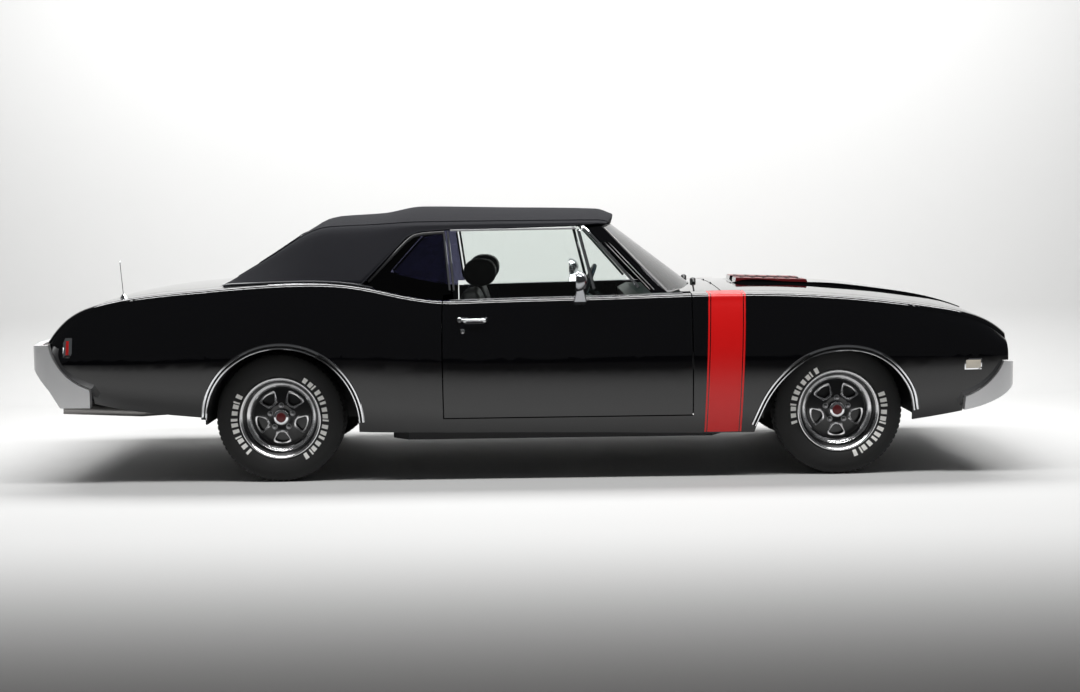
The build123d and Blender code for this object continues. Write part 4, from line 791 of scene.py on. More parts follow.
@dataclass
class Wheel:
    """One dressed wheel: tyre with grooves and white marks, bright ring, dark disc, nuts and cap."""

    name: str
    x: float
    side: float
    mark_arcs: tuple[Point2, ...] = ((119.0, 200.0), (-69.0, 25.0))
    tyre_r: float = 0.328
    half_w: float = 0.1075
    groove: float = 0.007
    pitch: int = 72  # tread blocks round the tyre
    cut: float = 0.005  # depth of the tread's cross grooves
    skew: float = 0.35  # lean of the cross grooves, in blocks
    mark_gap: float = 0.0125
    mark_r: float = 0.233

    @property
    def body(self) -> str:
        """Return the body that the wheel's pieces ride on."""
        return "wheel_" + self.name

    @property
    def centre(self) -> Vector:
        """Return the wheel's centre."""
        return Vector((self.x, self.side * WHEEL_Y, WHEEL_Z))

    def place(self, radius: float, turn: float, out: float) -> Vector:
        """Return a point of the wheel.

        Args:
            radius: Distance from the axle line.
            turn: Angle in radians, from the front towards the top.
            out: Distance outboard of the wheel's middle plane.
        """
        return self.centre + Vector((radius * math.cos(turn), self.side * out, radius * math.sin(turn)))

    def tyre_profile(self) -> list[tuple[float, float, bool]]:
        """Return radius, width and whether the tread's cross grooves reach the point."""
        side = [
            (0.2083, 0.0875), (0.2120, 0.0930), (0.2180, 0.0985), (0.2260, 0.1030), (0.2400, 0.1062),
            (0.2560, 0.1073), (0.2720, 0.1064), (0.2880, 0.1030), (0.3010, 0.0980), (0.3110, 0.0925),
            (0.3180, 0.0870),
        ]
        tread: list[tuple[float, float, bool]] = [(0.3240, 0.0820, True), (0.3260, 0.0740, True)]
        for middle in (0.052, 0.018):
            tread += [
                (0.3272, middle + 0.0050, True), (self.tyre_r - self.groove, middle + 0.0040, False),
                (self.tyre_r - self.groove, middle - 0.0040, False), (0.3276, middle - 0.0050, True),
            ]
        half = [(r, w, False) for r, w in side] + tread
        return half + [(r, -w, cut) for r, w, cut in reversed(half)]

    def tyre(self) -> None:
        """Build the tyre with its grooves, in place of the plain CAD one."""
        profile = self.tyre_profile()
        shape = Shape()
        verts = []
        steps = self.pitch * 4
        for k in range(steps):
            for r, w, cut in profile:
                skew = self.skew * w / self.half_w * math.tau / self.pitch * (1 if w > 0 else -1)
                turn = math.tau * k / steps + skew
                sunk = r - self.cut if cut and k % 4 == 0 and abs(w) > 0.03 else r
                verts.append(self.place(sunk, turn, w))
        count = len(profile)
        faces = []
        for k in range(steps):
            n = (k + 1) % steps
            for j in range(count - 1):
                faces.append((k * count + j, k * count + j + 1, n * count + j + 1, n * count + j))
        if self.side > 0:
            faces = [tuple(reversed(f)) for f in faces]
        shape.add(verts, faces)
        made = shape.make("tyre_dress_" + self.name, TYRE, self.body, 35.0)
        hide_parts("tyre_" + self.name)

    def side_at(self, radius: float) -> float:
        """Return the sidewall's width at a radius."""
        rows = [(r, w) for r, w, _ in self.tyre_profile() if w > 0][:11]
        for (r0, w0), (r1, w1) in zip(rows, rows[1:]):
            if r0 <= radius <= r1:
                return w0 + (w1 - w0) * (radius - r0) / (r1 - r0)
        return rows[-1][1]

    def mark(self, shape: Shape, turn: float, width: float, low: float, high: float) -> None:
        """Add one raised white block to the sidewall.

        Args:
            shape: The shape it goes into.
            turn: The block's middle, in radians.
            width: Its width in metres at its middle radius.
            low: Its inner radius.
            high: Its outer radius.
        """
        half = width / (low + high)
        verts = []
        for i in range(4):
            radius = low + (high - low) * i / 3
            for j in range(3):
                verts.append(self.place(radius, turn + half * (j - 1), self.side_at(radius) + 0.0011))
        faces = grid_faces(4, 3)
        shape.add(verts, [tuple(reversed(f)) for f in faces] if self.side < 0 else faces)

    def marks(self) -> None:
        """Build two arcs of plain raised blocks round the sidewall."""
        shape = Shape()
        blocks = (
            (0.020, 0.217, 0.249), (0.014, 0.217, 0.249), (0.022, 0.217, 0.245), (0.009, 0.217, 0.249),
        )
        for start, end in self.mark_arcs:
            turn, i = math.radians(start), 0
            while turn < math.radians(end):
                width, low, high = blocks[(i * 3 + i // 3) % 4]
                self.mark(shape, turn, width, low, high)
                turn += (width + self.mark_gap) / self.mark_r
                i += 1
        shape.make("tyre_marks_" + self.name, TYRE_WHITE, self.body)

    def ring(self) -> None:
        """Build the bright trim ring over the rim's lip."""
        profile = [
            (0.2065, 0.0905), (0.2075, 0.0955), (0.2045, 0.0975), (0.2000, 0.0955), (0.1960, 0.0900),
            (0.1880, 0.0830), (0.1850, 0.0800), (0.1835, 0.0700), (0.1790, 0.0520), (0.1730, 0.0470),
            (0.1660, 0.0430), (0.1590, 0.0360), (0.1555, 0.0300), (0.1540, 0.0240),
        ]
        shape = Shape()
        shape.lathe(self.centre, (0.0, self.side, 0.0), profile, 96)
        shape.make("wheel_ring_" + self.name, RING_METAL, self.body, 60.0)

    def window(self, grow: float) -> list[Point2]:
        """Return one disc opening's outline as radius-and-across pairs, grown by a margin."""
        inner, outer = 0.078 - grow, 0.132 + grow
        return [
            (inner, -0.010), (inner, 0.010), (inner + 0.006, 0.019 + grow), (outer - 0.020, 0.038 + grow),
            (outer - 0.010, 0.036 + grow), (outer - 0.003, 0.020 + grow), (outer, 0.0),
            (outer - 0.003, -0.020 - grow), (outer - 0.010, -0.036 - grow), (outer - 0.020, -0.038 - grow),
            (inner + 0.006, -0.019 - grow),
        ]

    def face_out(self, radius: float) -> float:
        """Return how far outboard the disc's face lies at a radius."""
        rows = ((0.034, 0.040), (0.064, 0.044), (0.106, 0.034), (0.150, 0.020), (0.158, 0.030))
        for (r0, h0), (r1, h1) in zip(rows, rows[1:]):
            if radius <= r1:
                return h0 + (h1 - h0) * max(radius - r0, 0.0) / (r1 - r0)
        return rows[-1][1]

    def borders(self) -> None:
        """Build the bright borders round the disc's five openings."""
        shape = Shape()
        for w in range(5):
            base = math.radians(-90.0 + 72.0 * w)
            loops = []
            for grow, lift in ((0.0, -0.006), (0.0, 0.004), (0.006, 0.0065), (0.0105, 0.0005)):
                loop = []
                for r, across in self.window(grow):
                    radius = math.hypot(r, across)
                    turn = base + math.atan2(across, r)
                    loop.append(self.place(radius, turn, self.face_out(radius) + lift))
                loops.append(loop)
            count = len(loops[0])
            flat = [v for loop in loops for v in loop]
            faces = grid_faces(len(loops), count, True)
            shape.add(flat, faces)
        shape.make("window_borders_" + self.name, RING_METAL, self.body, 50.0)

    def nuts_and_cap(self) -> None:
        """Build the wheel nuts, the cap with its plain red middle, and the brake drum, coloured near-black
        as painted shade.
        """
        nuts = Shape()
        axis = (0.0, self.side, 0.0)
        for w in range(5):
            at = self.place(0.0605, math.radians(-54.0 + 72.0 * w), 0.042)
            nuts.lathe(at, axis, [(0.0105, 0.0), (0.0105, 0.012), (0.0085, 0.019), (0.0, 0.021)], 6)
            nuts.lathe(at, axis, [(0.014, 0.0), (0.014, 0.003), (0.0105, 0.003)], 18)
        nuts.make("wheel_nuts_" + self.name, SATIN_METAL, self.body, 30.0)
        cap = Shape()
        cap.lathe(
            self.place(0.0, 0.0, 0.040), axis,
            [(0.041, 0.0), (0.041, 0.012), (0.039, 0.022), (0.034, 0.026), (0.026, 0.027), (0.0235, 0.024)],
            40,
        )
        cap.make("wheel_cap_" + self.name, CHROME, self.body, 50.0)
        disc = Shape()
        disc.lathe(self.place(0.0, 0.0, 0.040), axis, [(0.024, 0.0235), (0.012, 0.0255), (0.0, 0.026)], 32)
        disc.make("cap_disc_" + self.name, LOUVRE_RED, self.body)
        # painted shade: the drum seen through the disc's openings is coloured near-black
        drum = Shape()
        drum.lathe(
            self.centre, axis, [(0.150, -0.03), (0.150, 0.002), (0.130, 0.006), (0.060, 0.006)], 40
        )
        drum.make("brake_drum_" + self.name, WHEEL_BLACK_AND_SHADE, self.body)

    def build(self, node: bpy.types.Object) -> None:
        """Build the whole wheel's dress.

        Args:
            node: The CAD rim, which stays.
        """
        for slot in node.material_slots:
            slot.material = WHEEL_BLACK_AND_SHADE.material()
        self.tyre()
        self.marks()
        self.ring()
        self.borders()
        self.nuts_and_cap()


@dataclass(frozen=True)
class Bow:
    """One cross-section of the soft top: half widths and heights at a station."""

    x: float
    belt_w: float
    belt_z: float
    rail_w: float
    rail_z: float
    crown_z: float


@dataclass
class SoftTop:
    """The folding top in its raised position, one cloth sheet over its bows."""

    NEAR = 1e-6
    PANE_SHARE = 0.72  # the point of a row that lies on the pane's edge
    SHARES = (1.0, 0.985, 0.96, 0.92, 0.86, 0.79, PANE_SHARE, 0.62, 0.50, 0.36, 0.20)
    ROW_PITCH = 0.022
    LOW_Z = 1.000  # the cloth's lower edge behind the side opening

    bows: tuple[Bow, ...] = (
        Bow(-1.5275, 0.700, 1.008, 0.640, 1.016, 1.024),
        Bow(-1.3055, 0.800, 1.008, 0.640, 1.140, 1.176),
        Bow(-1.1055, 0.838, 1.008, 0.634, 1.258, 1.308),
        Bow(-1.0595, 0.839, 1.008, 0.632, 1.274, 1.334),
        Bow(-1.0055, 0.840, 1.008, 0.630, 1.284, 1.346),
        Bow(-0.7655, 0.840, 1.008, 0.628, 1.292, 1.360),
        Bow(-0.5555, 0.836, 1.008, 0.628, 1.298, 1.393),
        Bow(-0.1255, 0.826, 1.008, 0.626, 1.300, 1.383),
        Bow(0.4045, 0.810, 1.008, 0.612, 1.299, 1.368),
        Bow(0.4905, 0.804, 1.008, 0.600, 1.294, 1.339),
    )

    opening: tuple[Point2, ...] = (
        (-0.8205, 1.000), (-0.5985, 1.235), (-0.5365, 1.262), (-0.3955, 1.272),
        (0.2345, 1.284), (0.3945, 1.292), (0.4905, 1.290),
    )
    pane_x: Point2 = (-1.3873, -1.1777)
    pane_y: float = 0.460
    side_steps: int = 10
    cloth: float = 0.003
    sweep_from: float = 0.340
    sweep: float = 0.150
    cut_size: Point2 = (2.02, 2.16)
    cut_area: float = 2.97

    @staticmethod
    def smooth(xs: Sequence[float], ys: Sequence[float], x: float) -> float:
        """Return a monotone curve's value at x, so that the cloth never bulges past its bows.

        Args:
            xs: The stations.
            ys: The values there.
            x: Where it is wanted.
        """
        steps = [(y1 - y0) / (x1 - x0) for x0, x1, y0, y1 in zip(xs, xs[1:], ys, ys[1:])]
        slopes = [steps[0]]
        for a, b in zip(steps, steps[1:]):
            slopes.append(0.0 if a * b <= 0.0 else 2.0 * a * b / (a + b))
        slopes.append(steps[-1])
        i = max(0, min(len(xs) - 2, sum(1 for v in xs[1:] if v < x)))
        width = xs[i + 1] - xs[i]
        t = (x - xs[i]) / width
        low = (1.0 + 2.0 * t) * (1.0 - t) ** 2 * ys[i] + t * (1.0 - t) ** 2 * width * slopes[i]
        high = t * t * (3.0 - 2.0 * t) * ys[i + 1] + t * t * (t - 1.0) * width * slopes[i + 1]
        return low + high

    def bow_at(self, x: float) -> Bow:
        """Return the cross-section at a station between the bows."""
        xs = [b.x for b in self.bows]
        rows = [(b.belt_w, b.belt_z, b.rail_w, b.rail_z, b.crown_z) for b in self.bows]
        return Bow(x, *(self.smooth(xs, [row[k] for row in rows], x) for k in range(5)))

    def edge_z(self, x: float) -> float:
        """Return the height of the cloth's lower edge at a station."""
        if x <= self.opening[0][0]:
            return self.LOW_Z
        for (x0, z0), (x1, z1) in zip(self.opening, self.opening[1:]):
            if x <= x1:
                return z0 + (z1 - z0) * (x - x0) / (x1 - x0)
        return self.opening[-1][1]

    def stations(self) -> list[float]:
        """Return the rows' places, with one at every bow, corner of the opening and edge of the pane."""
        fixed = {b.x for b in self.bows} | {x for x, _ in self.opening} | set(self.pane_x)
        marks = sorted(fixed)
        made = []
        for x0, x1 in zip(marks, marks[1:]):
            count = max(1, round((x1 - x0) / self.ROW_PITCH))
            made += [x0 + (x1 - x0) * i / count for i in range(count)]
        return made + [marks[-1]]

    def row(self, x: float, lowered: float = 0.0, ahead: float = 0.0) -> list[Vector]:
        """Return one row of the cloth, from its right edge over the crown to its left edge.

        Args:
            x: The station.
            lowered: How much of the way to the header the row is let down, for the front lip.
            ahead: How far it lies ahead of the station.
        """
        bow = self.bow_at(x)
        low = min(self.edge_z(x), bow.rail_z - 0.004)
        half = []
        for i in range(self.side_steps):
            z = low + (bow.rail_z - low) * i / self.side_steps
            share = (z - bow.belt_z) / max(bow.rail_z - bow.belt_z, 0.001)
            half.append((bow.belt_w + (bow.rail_w - bow.belt_w) * share, z))
        for share in self.SHARES:
            on_pane = share == self.PANE_SHARE
            y = bow.rail_w * share * (self.pane_y / (self.PANE_SHARE * bow.rail_w) if on_pane else 1.0)
            half.append((y, bow.rail_z + (bow.crown_z - bow.rail_z) * (1.0 - (y / bow.rail_w) ** 2)))
        rounded = self._ease(half, self.side_steps)
        lip = self.opening[-1][1]
        near = max(0.0, (x - self.sweep_from) / (self.bows[-1].x - self.sweep_from))
        right = []
        for y, z in [*rounded, (0.0, bow.crown_z)]:
            back = self.sweep * near * near * y * y
            right.append(Vector((x + ahead - back, -y, z + (lip - z) * lowered)))
        return right + [Vector((p.x, -p.y, p.z)) for p in reversed(right[:-1])]

    @staticmethod
    def _ease(half: Sequence[Point2], corner: int) -> list[Point2]:
        """Round the rail's corner by sliding its neighbours towards their chord."""
        made = list(half)
        for _ in range(3):
            for k in range(corner - 1, corner + 2):
                (y0, z0), (y1, z1), (y2, z2) = made[k - 1], made[k], made[k + 1]
                made[k] = (y1 * 0.6 + (y0 + y2) * 0.2, z1 * 0.6 + (z0 + z2) * 0.2)
        return made

    def sheet(self) -> bpy.types.Object:
        """Build the cloth with its rear pane cut out and its front lip turned down."""
        places = self.stations()
        rows = [self.row(x) for x in places]
        for ahead, lowered in ((0.002, 0.15), (0.0, 0.42), (-0.005, 0.75), (-0.008, 1.0)):
            rows.append(self.row(places[-1], lowered, ahead))
        columns = len(rows[0])
        faces = []
        for i, face in enumerate(grid_faces(len(rows), columns)):
            row, column = divmod(i, columns - 1)
            rear, front = self.pane_x[0] - self.NEAR, self.pane_x[1] - self.NEAR
            inside = row < len(places) - 1 and rear <= places[row] < front
            spread = max(abs(rows[row][column].y), abs(rows[row][column + 1].y))
            if not inside or spread > self.pane_y + self.NEAR:
                faces.append(tuple(reversed(face)))
        shape = Shape()
        shape.add([v for row in rows for v in row], faces)
        made = shape.make("top_cloth_sheet", TOP_CLOTH, "body", 60.0)
        thick = made.modifiers.new("cloth", "SOLIDIFY")
        thick.thickness = self.cloth
        thick.offset = -1.0
        return made

    def seam(self, name: str, path: Sequence[Sequence[float]], radius: float) -> bpy.types.Object:
        """Build a welt of cloth along a path."""
        shape = Shape()
        shape.tube(path, radius, 8)
        return shape.make(name, TOP_CLOTH)

    def build(self) -> None:
        """Build the cloth, the welts along its seams and the pane's binding."""
        made = self.sheet()
        places = self.stations()
        for side, word in ((RIGHT, "right"), (LEFT, "left")):
            rail = [self.row(x)[self.side_steps + 3] + Vector((0.0, 0.0, 0.001)) for x in places[2:]]
            self.seam("top_seam_" + word, [(p.x, -side * p.y, p.z) for p in rail], 0.003)
            edge = [self.row(x)[0] for x in places if x >= self.opening[0][0]]
            self.seam("top_piping_" + word, [(p.x, -side * p.y, p.z) for p in edge], 0.0045)
        rear, front = self.pane_x
        binding = [x for x in places if rear - self.NEAR <= x <= front + self.NEAR]
        column = self.side_steps + 6
        right = [self.row(x)[column] for x in binding]
        ahead = [p for p in self.row(binding[-1])[column:-column] if p.y <= 0.0]
        behind = [p for p in self.row(binding[0])[column:-column] if p.y <= 0.0]
        half = list(reversed(behind)) + right + ahead
        loop = half + [Vector((p.x, -p.y, p.z)) for p in reversed(half)]
        self.seam("pane_binding", [*loop, loop[0]], 0.006)
        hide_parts("soft_top")


@dataclass
class Cabin:
    """Seats, headrests, floor mats, gauges and the steering wheel's button."""

    seat_y: float = 0.372
    seat_w: float = 0.520

    def pad(
        self,
        name: str,
        low: Point,
        high: Point,
        lean: float,
        pivot: Point,
        ribs: int,
        node: str,
        across: bool = False,
        power: float = 4.0,
    ) -> bpy.types.Object:
        """Build a crowned pad with sewn channels.

        Args:
            name: The pad's name.
            low: Its lowest corner before it leans.
            high: Its highest corner before it leans.
            lean: Backward lean in degrees.
            pivot: The point it leans about.
            ribs: Number of sewn channels on its wide face.
            node: The CAD node it stands for.
            across: Whether the wide face is the top instead of the front.
            power: How square it is from the side; 2 is an oval.
        """
        lo, hi = Vector(low), Vector(high)
        size = hi - lo
        mid = (lo + hi) / 2
        shape = Shape()
        steps = 24
        verts: list[Vector] = []
        rotate = Matrix.Rotation(math.radians(-lean), 4, "Y")
        for i in range(steps + 1):
            v = -1.0 + 2.0 * i / steps
            for k in range(4 * steps):
                u = math.tau * k / (4 * steps)
                verts.append(self._rounded(mid, size, u, v, ribs, across, power))
        faces = grid_faces(steps + 1, 4 * steps, True)
        faces.append(tuple(reversed(range(4 * steps))))
        faces.append(tuple(range(steps * 4 * steps, (steps + 1) * 4 * steps)))
        at = Vector(pivot)
        shape.add([at + rotate @ (p - at) for p in verts], faces)
        made = shape.make(name, VINYL, "body", 60.0)
        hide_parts(node)
        return made

    @staticmethod
    def _rounded(
        mid: Vector, size: Vector, u: float, v: float, ribs: int, across: bool, power: float
    ) -> Vector:
        """Return a point of a pillow-shaped form.

        Args:
            mid: Its middle.
            size: Its full size.
            u: Angle round it.
            v: Place from its right edge (-1) to its left edge (1).
            ribs: Number of channels.
            across: Whether they lie on its top.
            power: How square it is from the side.
        """
        c, s = math.cos(u), math.sin(u)
        reach = (abs(c) ** power + abs(s) ** power) ** (-1.0 / power)
        edge = (1.0 - abs(v) ** 6) ** (1.0 / 3.0)
        shrink = 0.80 + 0.20 * edge
        px, pz = c * reach, s * reach
        facing = pz if across else px
        if facing > 0.82 and ribs:
            groove = abs(math.sin(math.pi * ribs * (v + 1.0) / 2.0)) ** 0.35
            dip = 0.016 * (1.0 - groove) * min(1.0, (facing - 0.82) * 10)
            if across:
                pz -= dip / (size.z / 2)
            else:
                px -= dip / (size.x / 2)
        return mid + Vector((px * shrink * size.x / 2, v * size.y / 2, pz * shrink * size.z / 2))

    def build(self) -> None:
        """Build the cabin's pieces."""
        half = self.seat_w / 2 - 0.004
        for side, word in ((RIGHT, "right"), (LEFT, "left")):
            y = side * self.seat_y
            self.pad(
                "seat_cushion_" + word, (-0.228, y - half, 0.356), (0.288, y + half, 0.508), 0.0,
                (0.0, y, 0.4), 7, "front_cushions", True,
            )
            self.pad(
                "seat_back_" + word, (-0.245, y - half, 0.520), (-0.125, y + half, 0.965), 13.0,
                (-0.185, y, 0.52), 7, "front_backs",
            )
            self.pad(
                "headrest_" + word, (-0.316, y - 0.112, 0.968), (-0.144, y + 0.112, 1.113), 0.0,
                (-0.24, y, 1.0), 0, "front_backs", power=2.3,
            )
        self.pad("rear_seat_cushion", (-1.08, -0.556, 0.516), (-0.608, 0.556, 0.655), 0.0, (0, 0, 0.5), 12,
                 "rear_cushion", True)
        self.pad("rear_seat_back", (-1.19, -0.556, 0.540), (-1.09, 0.556, 0.972), 14.0, (-1.12, 0, 0.54), 12,
                 "rear_back")
        carpet = Shape()
        carpet.box((0.10, -0.70, 0.2745), (0.78, -0.22, 0.280))
        carpet.box((0.10, 0.22, 0.2745), (0.78, 0.70, 0.280))
        carpet.make("floor_mats", CARPET)
        self.dash()

    def dash(self) -> None:
        """Build the gauges and the steering wheel's bright horn button."""
        rims, faces = Shape(), Shape()
        slope = (-0.96, 0.0, 0.28)
        rim = [(0.055, 0.0), (0.055, 0.008), (0.049, 0.008), (0.049, 0.0)]
        for y in (0.25, 0.38, 0.51):
            at = (0.556, y, 0.815)
            rims.lathe(at, slope, rim, 32)
            faces.lathe(at, slope, [(0.049, 0.003), (0.0, 0.003)], 32)
        rims.make("gauge_rims", CHROME)
        faces.make("gauge_faces", GAUGE)
        horn = Shape()
        tilt = math.radians(24.0)
        axis = Vector((-math.cos(tilt), 0.0, math.sin(tilt)))
        centre = Vector((0.3295, 0.372, 0.868)) - axis * 0.008
        horn.lathe(centre, axis, [(0.0, 0.016), (0.030, 0.014), (0.040, 0.0)], 32)
        horn.make("horn_button", CHROME, "steering_wheel")


@dataclass
class GlassTrim:
    """Bright frames round the side glass and the vent windows."""

    base_y: float = 0.858
    top_y: float = 0.652
    base_z: float = 0.885
    top_z: float = 1.292

    def glass_y(self, z: float, out: float) -> float:
        """Return the right glass's y at a height, moved outboard."""
        share = (z - self.base_z) / (self.top_z - self.base_z)
        return -(self.base_y + (self.top_y - self.base_y) * share) - out

    def bar(self, points: Sequence[Point2], radius: float, out: float = 0.002, steps: int = 6) -> Shape:
        """Return a bar along the side glass."""
        shape = Shape()
        path = spline(points, steps) if len(points) > 2 else [Vector(p) for p in points]
        shape.tube([(p.x, self.glass_y(p.y, out), p.y) for p in path], radius, 8)
        return shape

    def build(self) -> None:
        """Build the frames."""
        self.bar([(0.289, 1.262), (0.364, 0.962)], 0.009).make_both("vent_post", CHROME, DOORS)
        self.bar([(0.306, 1.268), (0.345, 1.246), (0.590, 0.968)], 0.008, 0.005, steps=8).make_both(
            "vent_frame", CHROME, DOORS
        )
        self.bar([(-0.384, 1.262), (-0.350, 0.965)], 0.0065).make_both("glass_edge_front", CHROME, DOORS)
        self.bar([(-0.4035, 1.256), (-0.3705, 0.965)], 0.0065).make_both("glass_edge_rear", CHROME)
        around = [(-0.402, 1.258), (-0.525, 1.249), (-0.584, 1.223), (-0.680, 1.127), (-0.787, 1.014)]
        self.bar(around, 0.008, 0.004).make_both("quarter_glass_seal", SATIN_BLACK)
        self.bar([(-0.37, 1.268), (0.280, 1.270)], 0.005).make_both("door_glass_top", SATIN_METAL, DOORS)


@dataclass
class PillarTrim:
    """Bright lines along the windshield's side posts."""

    base: Point = (0.7255, 0.786, 0.948)
    top: Point = (0.4125, 0.604, 1.284)

    def line(self, back: float, out: float, radius: float, start: float = 0.02, end: float = 0.98) -> Shape:
        """Return a bar along the right post's outer face.

        Args:
            back: How far it lies behind the post's front edge.
            out: How far it stands off the face.
            radius: Half its thickness.
            start: Where it starts, as a share of the post.
            end: Where it ends.
        """
        shape = Shape()
        low, high = Vector(self.base), Vector(self.top)
        ends = [low.lerp(high, t) for t in (start, (start + end) / 2, end)]
        shape.tube([(p.x - back, -p.y - out, p.z) for p in ends], radius, 8)
        return shape

    def build(self) -> None:
        """Build the lines on both posts."""
        self.line(0.004, 0.001, 0.0045).make_both("pillar_edge", CHROME)
        self.line(0.050, 0.0, 0.0022).make_both("pillar_line", SATIN_METAL)
        self.line(0.070, 0.0, 0.0022).make_both("pillar_line_rear", SATIN_METAL)


@dataclass
class BeltTrim:
    """Bright strips along the belt and below the soft top, and the corners at the top's base."""

    skin: Skin
    cabin_rear: float = -1.4775
    edge_y: float = 0.846
    rise: float = 0.045

    def base(self, x: float, y: float, lift: float) -> Vector:
        """Return a point of the panel round the top's base, over its open corner too.

        Args:
            x: Its place along the car.
            y: Its place across, on the right.
            lift: How far it stands off the panel.
        """
        if x < self.cabin_rear - 0.012:
            return self.skin.above(x, y, lift)
        edge = self.skin.above(x, -self.edge_y)
        return Vector((x, y, edge.z + (self.edge_y + y) * self.rise + lift))

    def corner_panels(self, top: SoftTop) -> None:
        """Build the panels between the top's rear corners and the quarter panels.

        Args:
            top: The soft top that they meet.
        """
        shape = Shape()
        count = 24
        verts: list[Vector] = []
        for i in range(count + 1):
            x = self.cabin_rear - 0.018 + 0.400 * i / count
            inner = min(top.bow_at(x).belt_w - 0.012, self.edge_y - 0.004)
            for k in range(5):
                y = -self.edge_y + (self.edge_y - inner) * k / 4
                edge = self.skin.above(x, -self.edge_y, 0.0015)
                verts.append(Vector((x, y, edge.z + (self.edge_y + y) * self.rise)))
        shape.add(verts, grid_faces(count + 1, 5))
        shape.make_both("top_base_corner", PAINT)

    def build(self) -> None:
        """Build the strips."""
        strip = Shape()
        path = [self.skin.above(x, -0.848, 0.001) for x in [-0.37 + 1.18 * i / 40 for i in range(41)]]
        strip.tube(path, 0.0035, 8)
        strip.make_both("belt_strip_door", SATIN_METAL, DOORS)
        around = Shape()
        line = [
            (-0.760, -0.846), (-0.95, -0.848), (-1.20, -0.838), (-1.36, -0.803), (-1.45, -0.762),
            (-1.507, -0.733), (-1.538, -0.702), (-1.545, -0.640), (-1.545, -0.30), (-1.545, 0.0),
        ]
        curve = spline(line, 10)
        around.tube([self.base(p.x, p.y, 0.006) for p in curve], 0.0065, 8)
        around.make_both("top_base_strip", CHROME)
        self.corner_panels(SoftTop())


@dataclass
class Wheelhouse:
    """Flanges that close the rear wheels' tubs against the quarter panels."""

    skin: Skin
    radius: float = 0.397
    at: Point2 = (REAR_X + 0.022, 0.303)
    tub_y: float = 0.878
    inset: float = 0.0175

    def build(self) -> None:
        """Build one flange on each side."""
        shape = Shape()
        verts: list[Point] = []
        steps = 48
        for i in range(steps + 1):
            turn = math.pi * i / steps
            x = self.at[0] + self.radius * math.cos(turn)
            z = self.at[1] + self.radius * math.sin(turn)
            outer = self.skin.at(x, z).y + self.inset
            verts += [(x, -self.tub_y, z), (x, min(outer, -self.tub_y), z)]
        shape.add(verts, grid_faces(steps + 1, 2))
        shape.make_both("wheelhouse_flange", UNDERCOAT)


@dataclass
class FrontEnd:
    """Lamp bezels, grille frames, hood louvres and wipers."""

    skin: Skin
    lamp_z: float = 0.626
    lamp_y: Point2 = (0.594, 0.762)
    louvre_y: float = 0.148
    louvre_x: float = FRONT_X - 0.255
    louvre_pitch: float = 0.062
    covers_x: Point2 = (1.1515, 1.5335)
    bar_half: float = 0.011

    def lamps(self) -> None:
        """Build the headlamps' bezels."""
        bezels = Shape()
        profile = [
            (0.0745, -0.006), (0.0755, 0.006), (0.0735, 0.012), (0.0690, 0.012), (0.0665, 0.004),
            (0.0665, -0.004),
        ]
        for y in (*self.lamp_y, *(-y for y in self.lamp_y)):
            bezels.lathe((NOSE_X + 0.018, y, self.lamp_z), (1, 0, 0), profile, 48)
        bezels.make("headlamp_bezels", CHROME)

    def grille(self) -> None:
        """Build bright frames round the two halves of the grille."""
        frames = Shape()
        for side in SIDES:
            frames.frame(NOSE_X + 0.019, (side * 0.052, 0.690), (side * 0.500, 0.562), 0.0055)
        frames.make("grille_frames", CHROME)

    def louvres(self) -> None:
        """Build the dark red covers and slats over the hood's two rows of slots."""
        slats, covers = Shape(), Shape()
        middle, pitch, bar = self.louvre_x, self.louvre_pitch, self.bar_half
        first, last = self.covers_x
        for side in SIDES:
            y = side * self.louvre_y
            for i in range(6):
                x = middle + pitch * (i - 2.5)
                z = self.skin.above(x + 0.018, y).z
                slats.slab([(x - 0.009, y - 0.065, z - 0.014), (x - 0.009, y + 0.065, z - 0.014),
                            (x + 0.011, y + 0.065, z - 0.002), (x + 0.011, y - 0.065, z - 0.002)],
                           (0.0, 0.0, -0.0015))
            bars = [(first, middle - 2.5 * pitch - bar)]
            bars += [(middle + pitch * (i - 2.5) + bar, middle + pitch * (i - 1.5) - bar) for i in range(5)]
            bars.append((middle + 2.5 * pitch + bar, last))
            patches = [(x0, x1, -0.079, 0.079) for x0, x1 in bars]
            patches += [(first, last, -0.079, -0.066), (first, last, 0.066, 0.079)]
            for x0, x1, y0, y1 in patches:
                corners = [self.skin.above(x, y + dy * side, 0.0008)
                           for x, dy in ((x0, y0), (x1, y0), (x1, y1), (x0, y1))]
                if side < 0:
                    corners.reverse()
                covers.add(corners, [(0, 1, 2, 3)])
            wall = y + side * 0.0805
            outline = [(1.1436, 0.949), (1.1515, 0.9842), (1.5335, 0.9702), (1.5450, 0.936)]
            ring = [(x, wall, z) for x, z in outline]
            covers.slab(ring if side < 0 else list(reversed(ring)), (0.0, side * 0.0008, 0.0))
        slats.make("hood_louvre_slats", LOUVRE_RED, "hood")
        covers.make("hood_louvre_covers", LOUVRE_RED, "hood")

    def wipers(self) -> None:
        """Build two wiper arms lying on the base of the windshield."""
        shape = Shape()
        for y in (-0.08, 0.52):
            base = self.skin.above(0.93, y, 0.006)
            shape.lathe(base, (0, 0, 1), [(0.016, -0.006), (0.016, 0.012), (0.010, 0.018), (0.0, 0.019)], 20)
            tip = Vector((base.x - 0.03, y - 0.40, base.z + 0.012))
            elbow = base.lerp(tip, 0.5) + Vector((0, 0, 0.014))
            shape.tube([base + Vector((0, 0, 0.012)), elbow, tip], 0.0045, 8)
        shape.make("wiper_arms", SATIN_BLACK)

    def build(self) -> None:
        """Build the front's pieces."""
        self.lamps()
        self.grille()
        self.louvres()
        self.wipers()


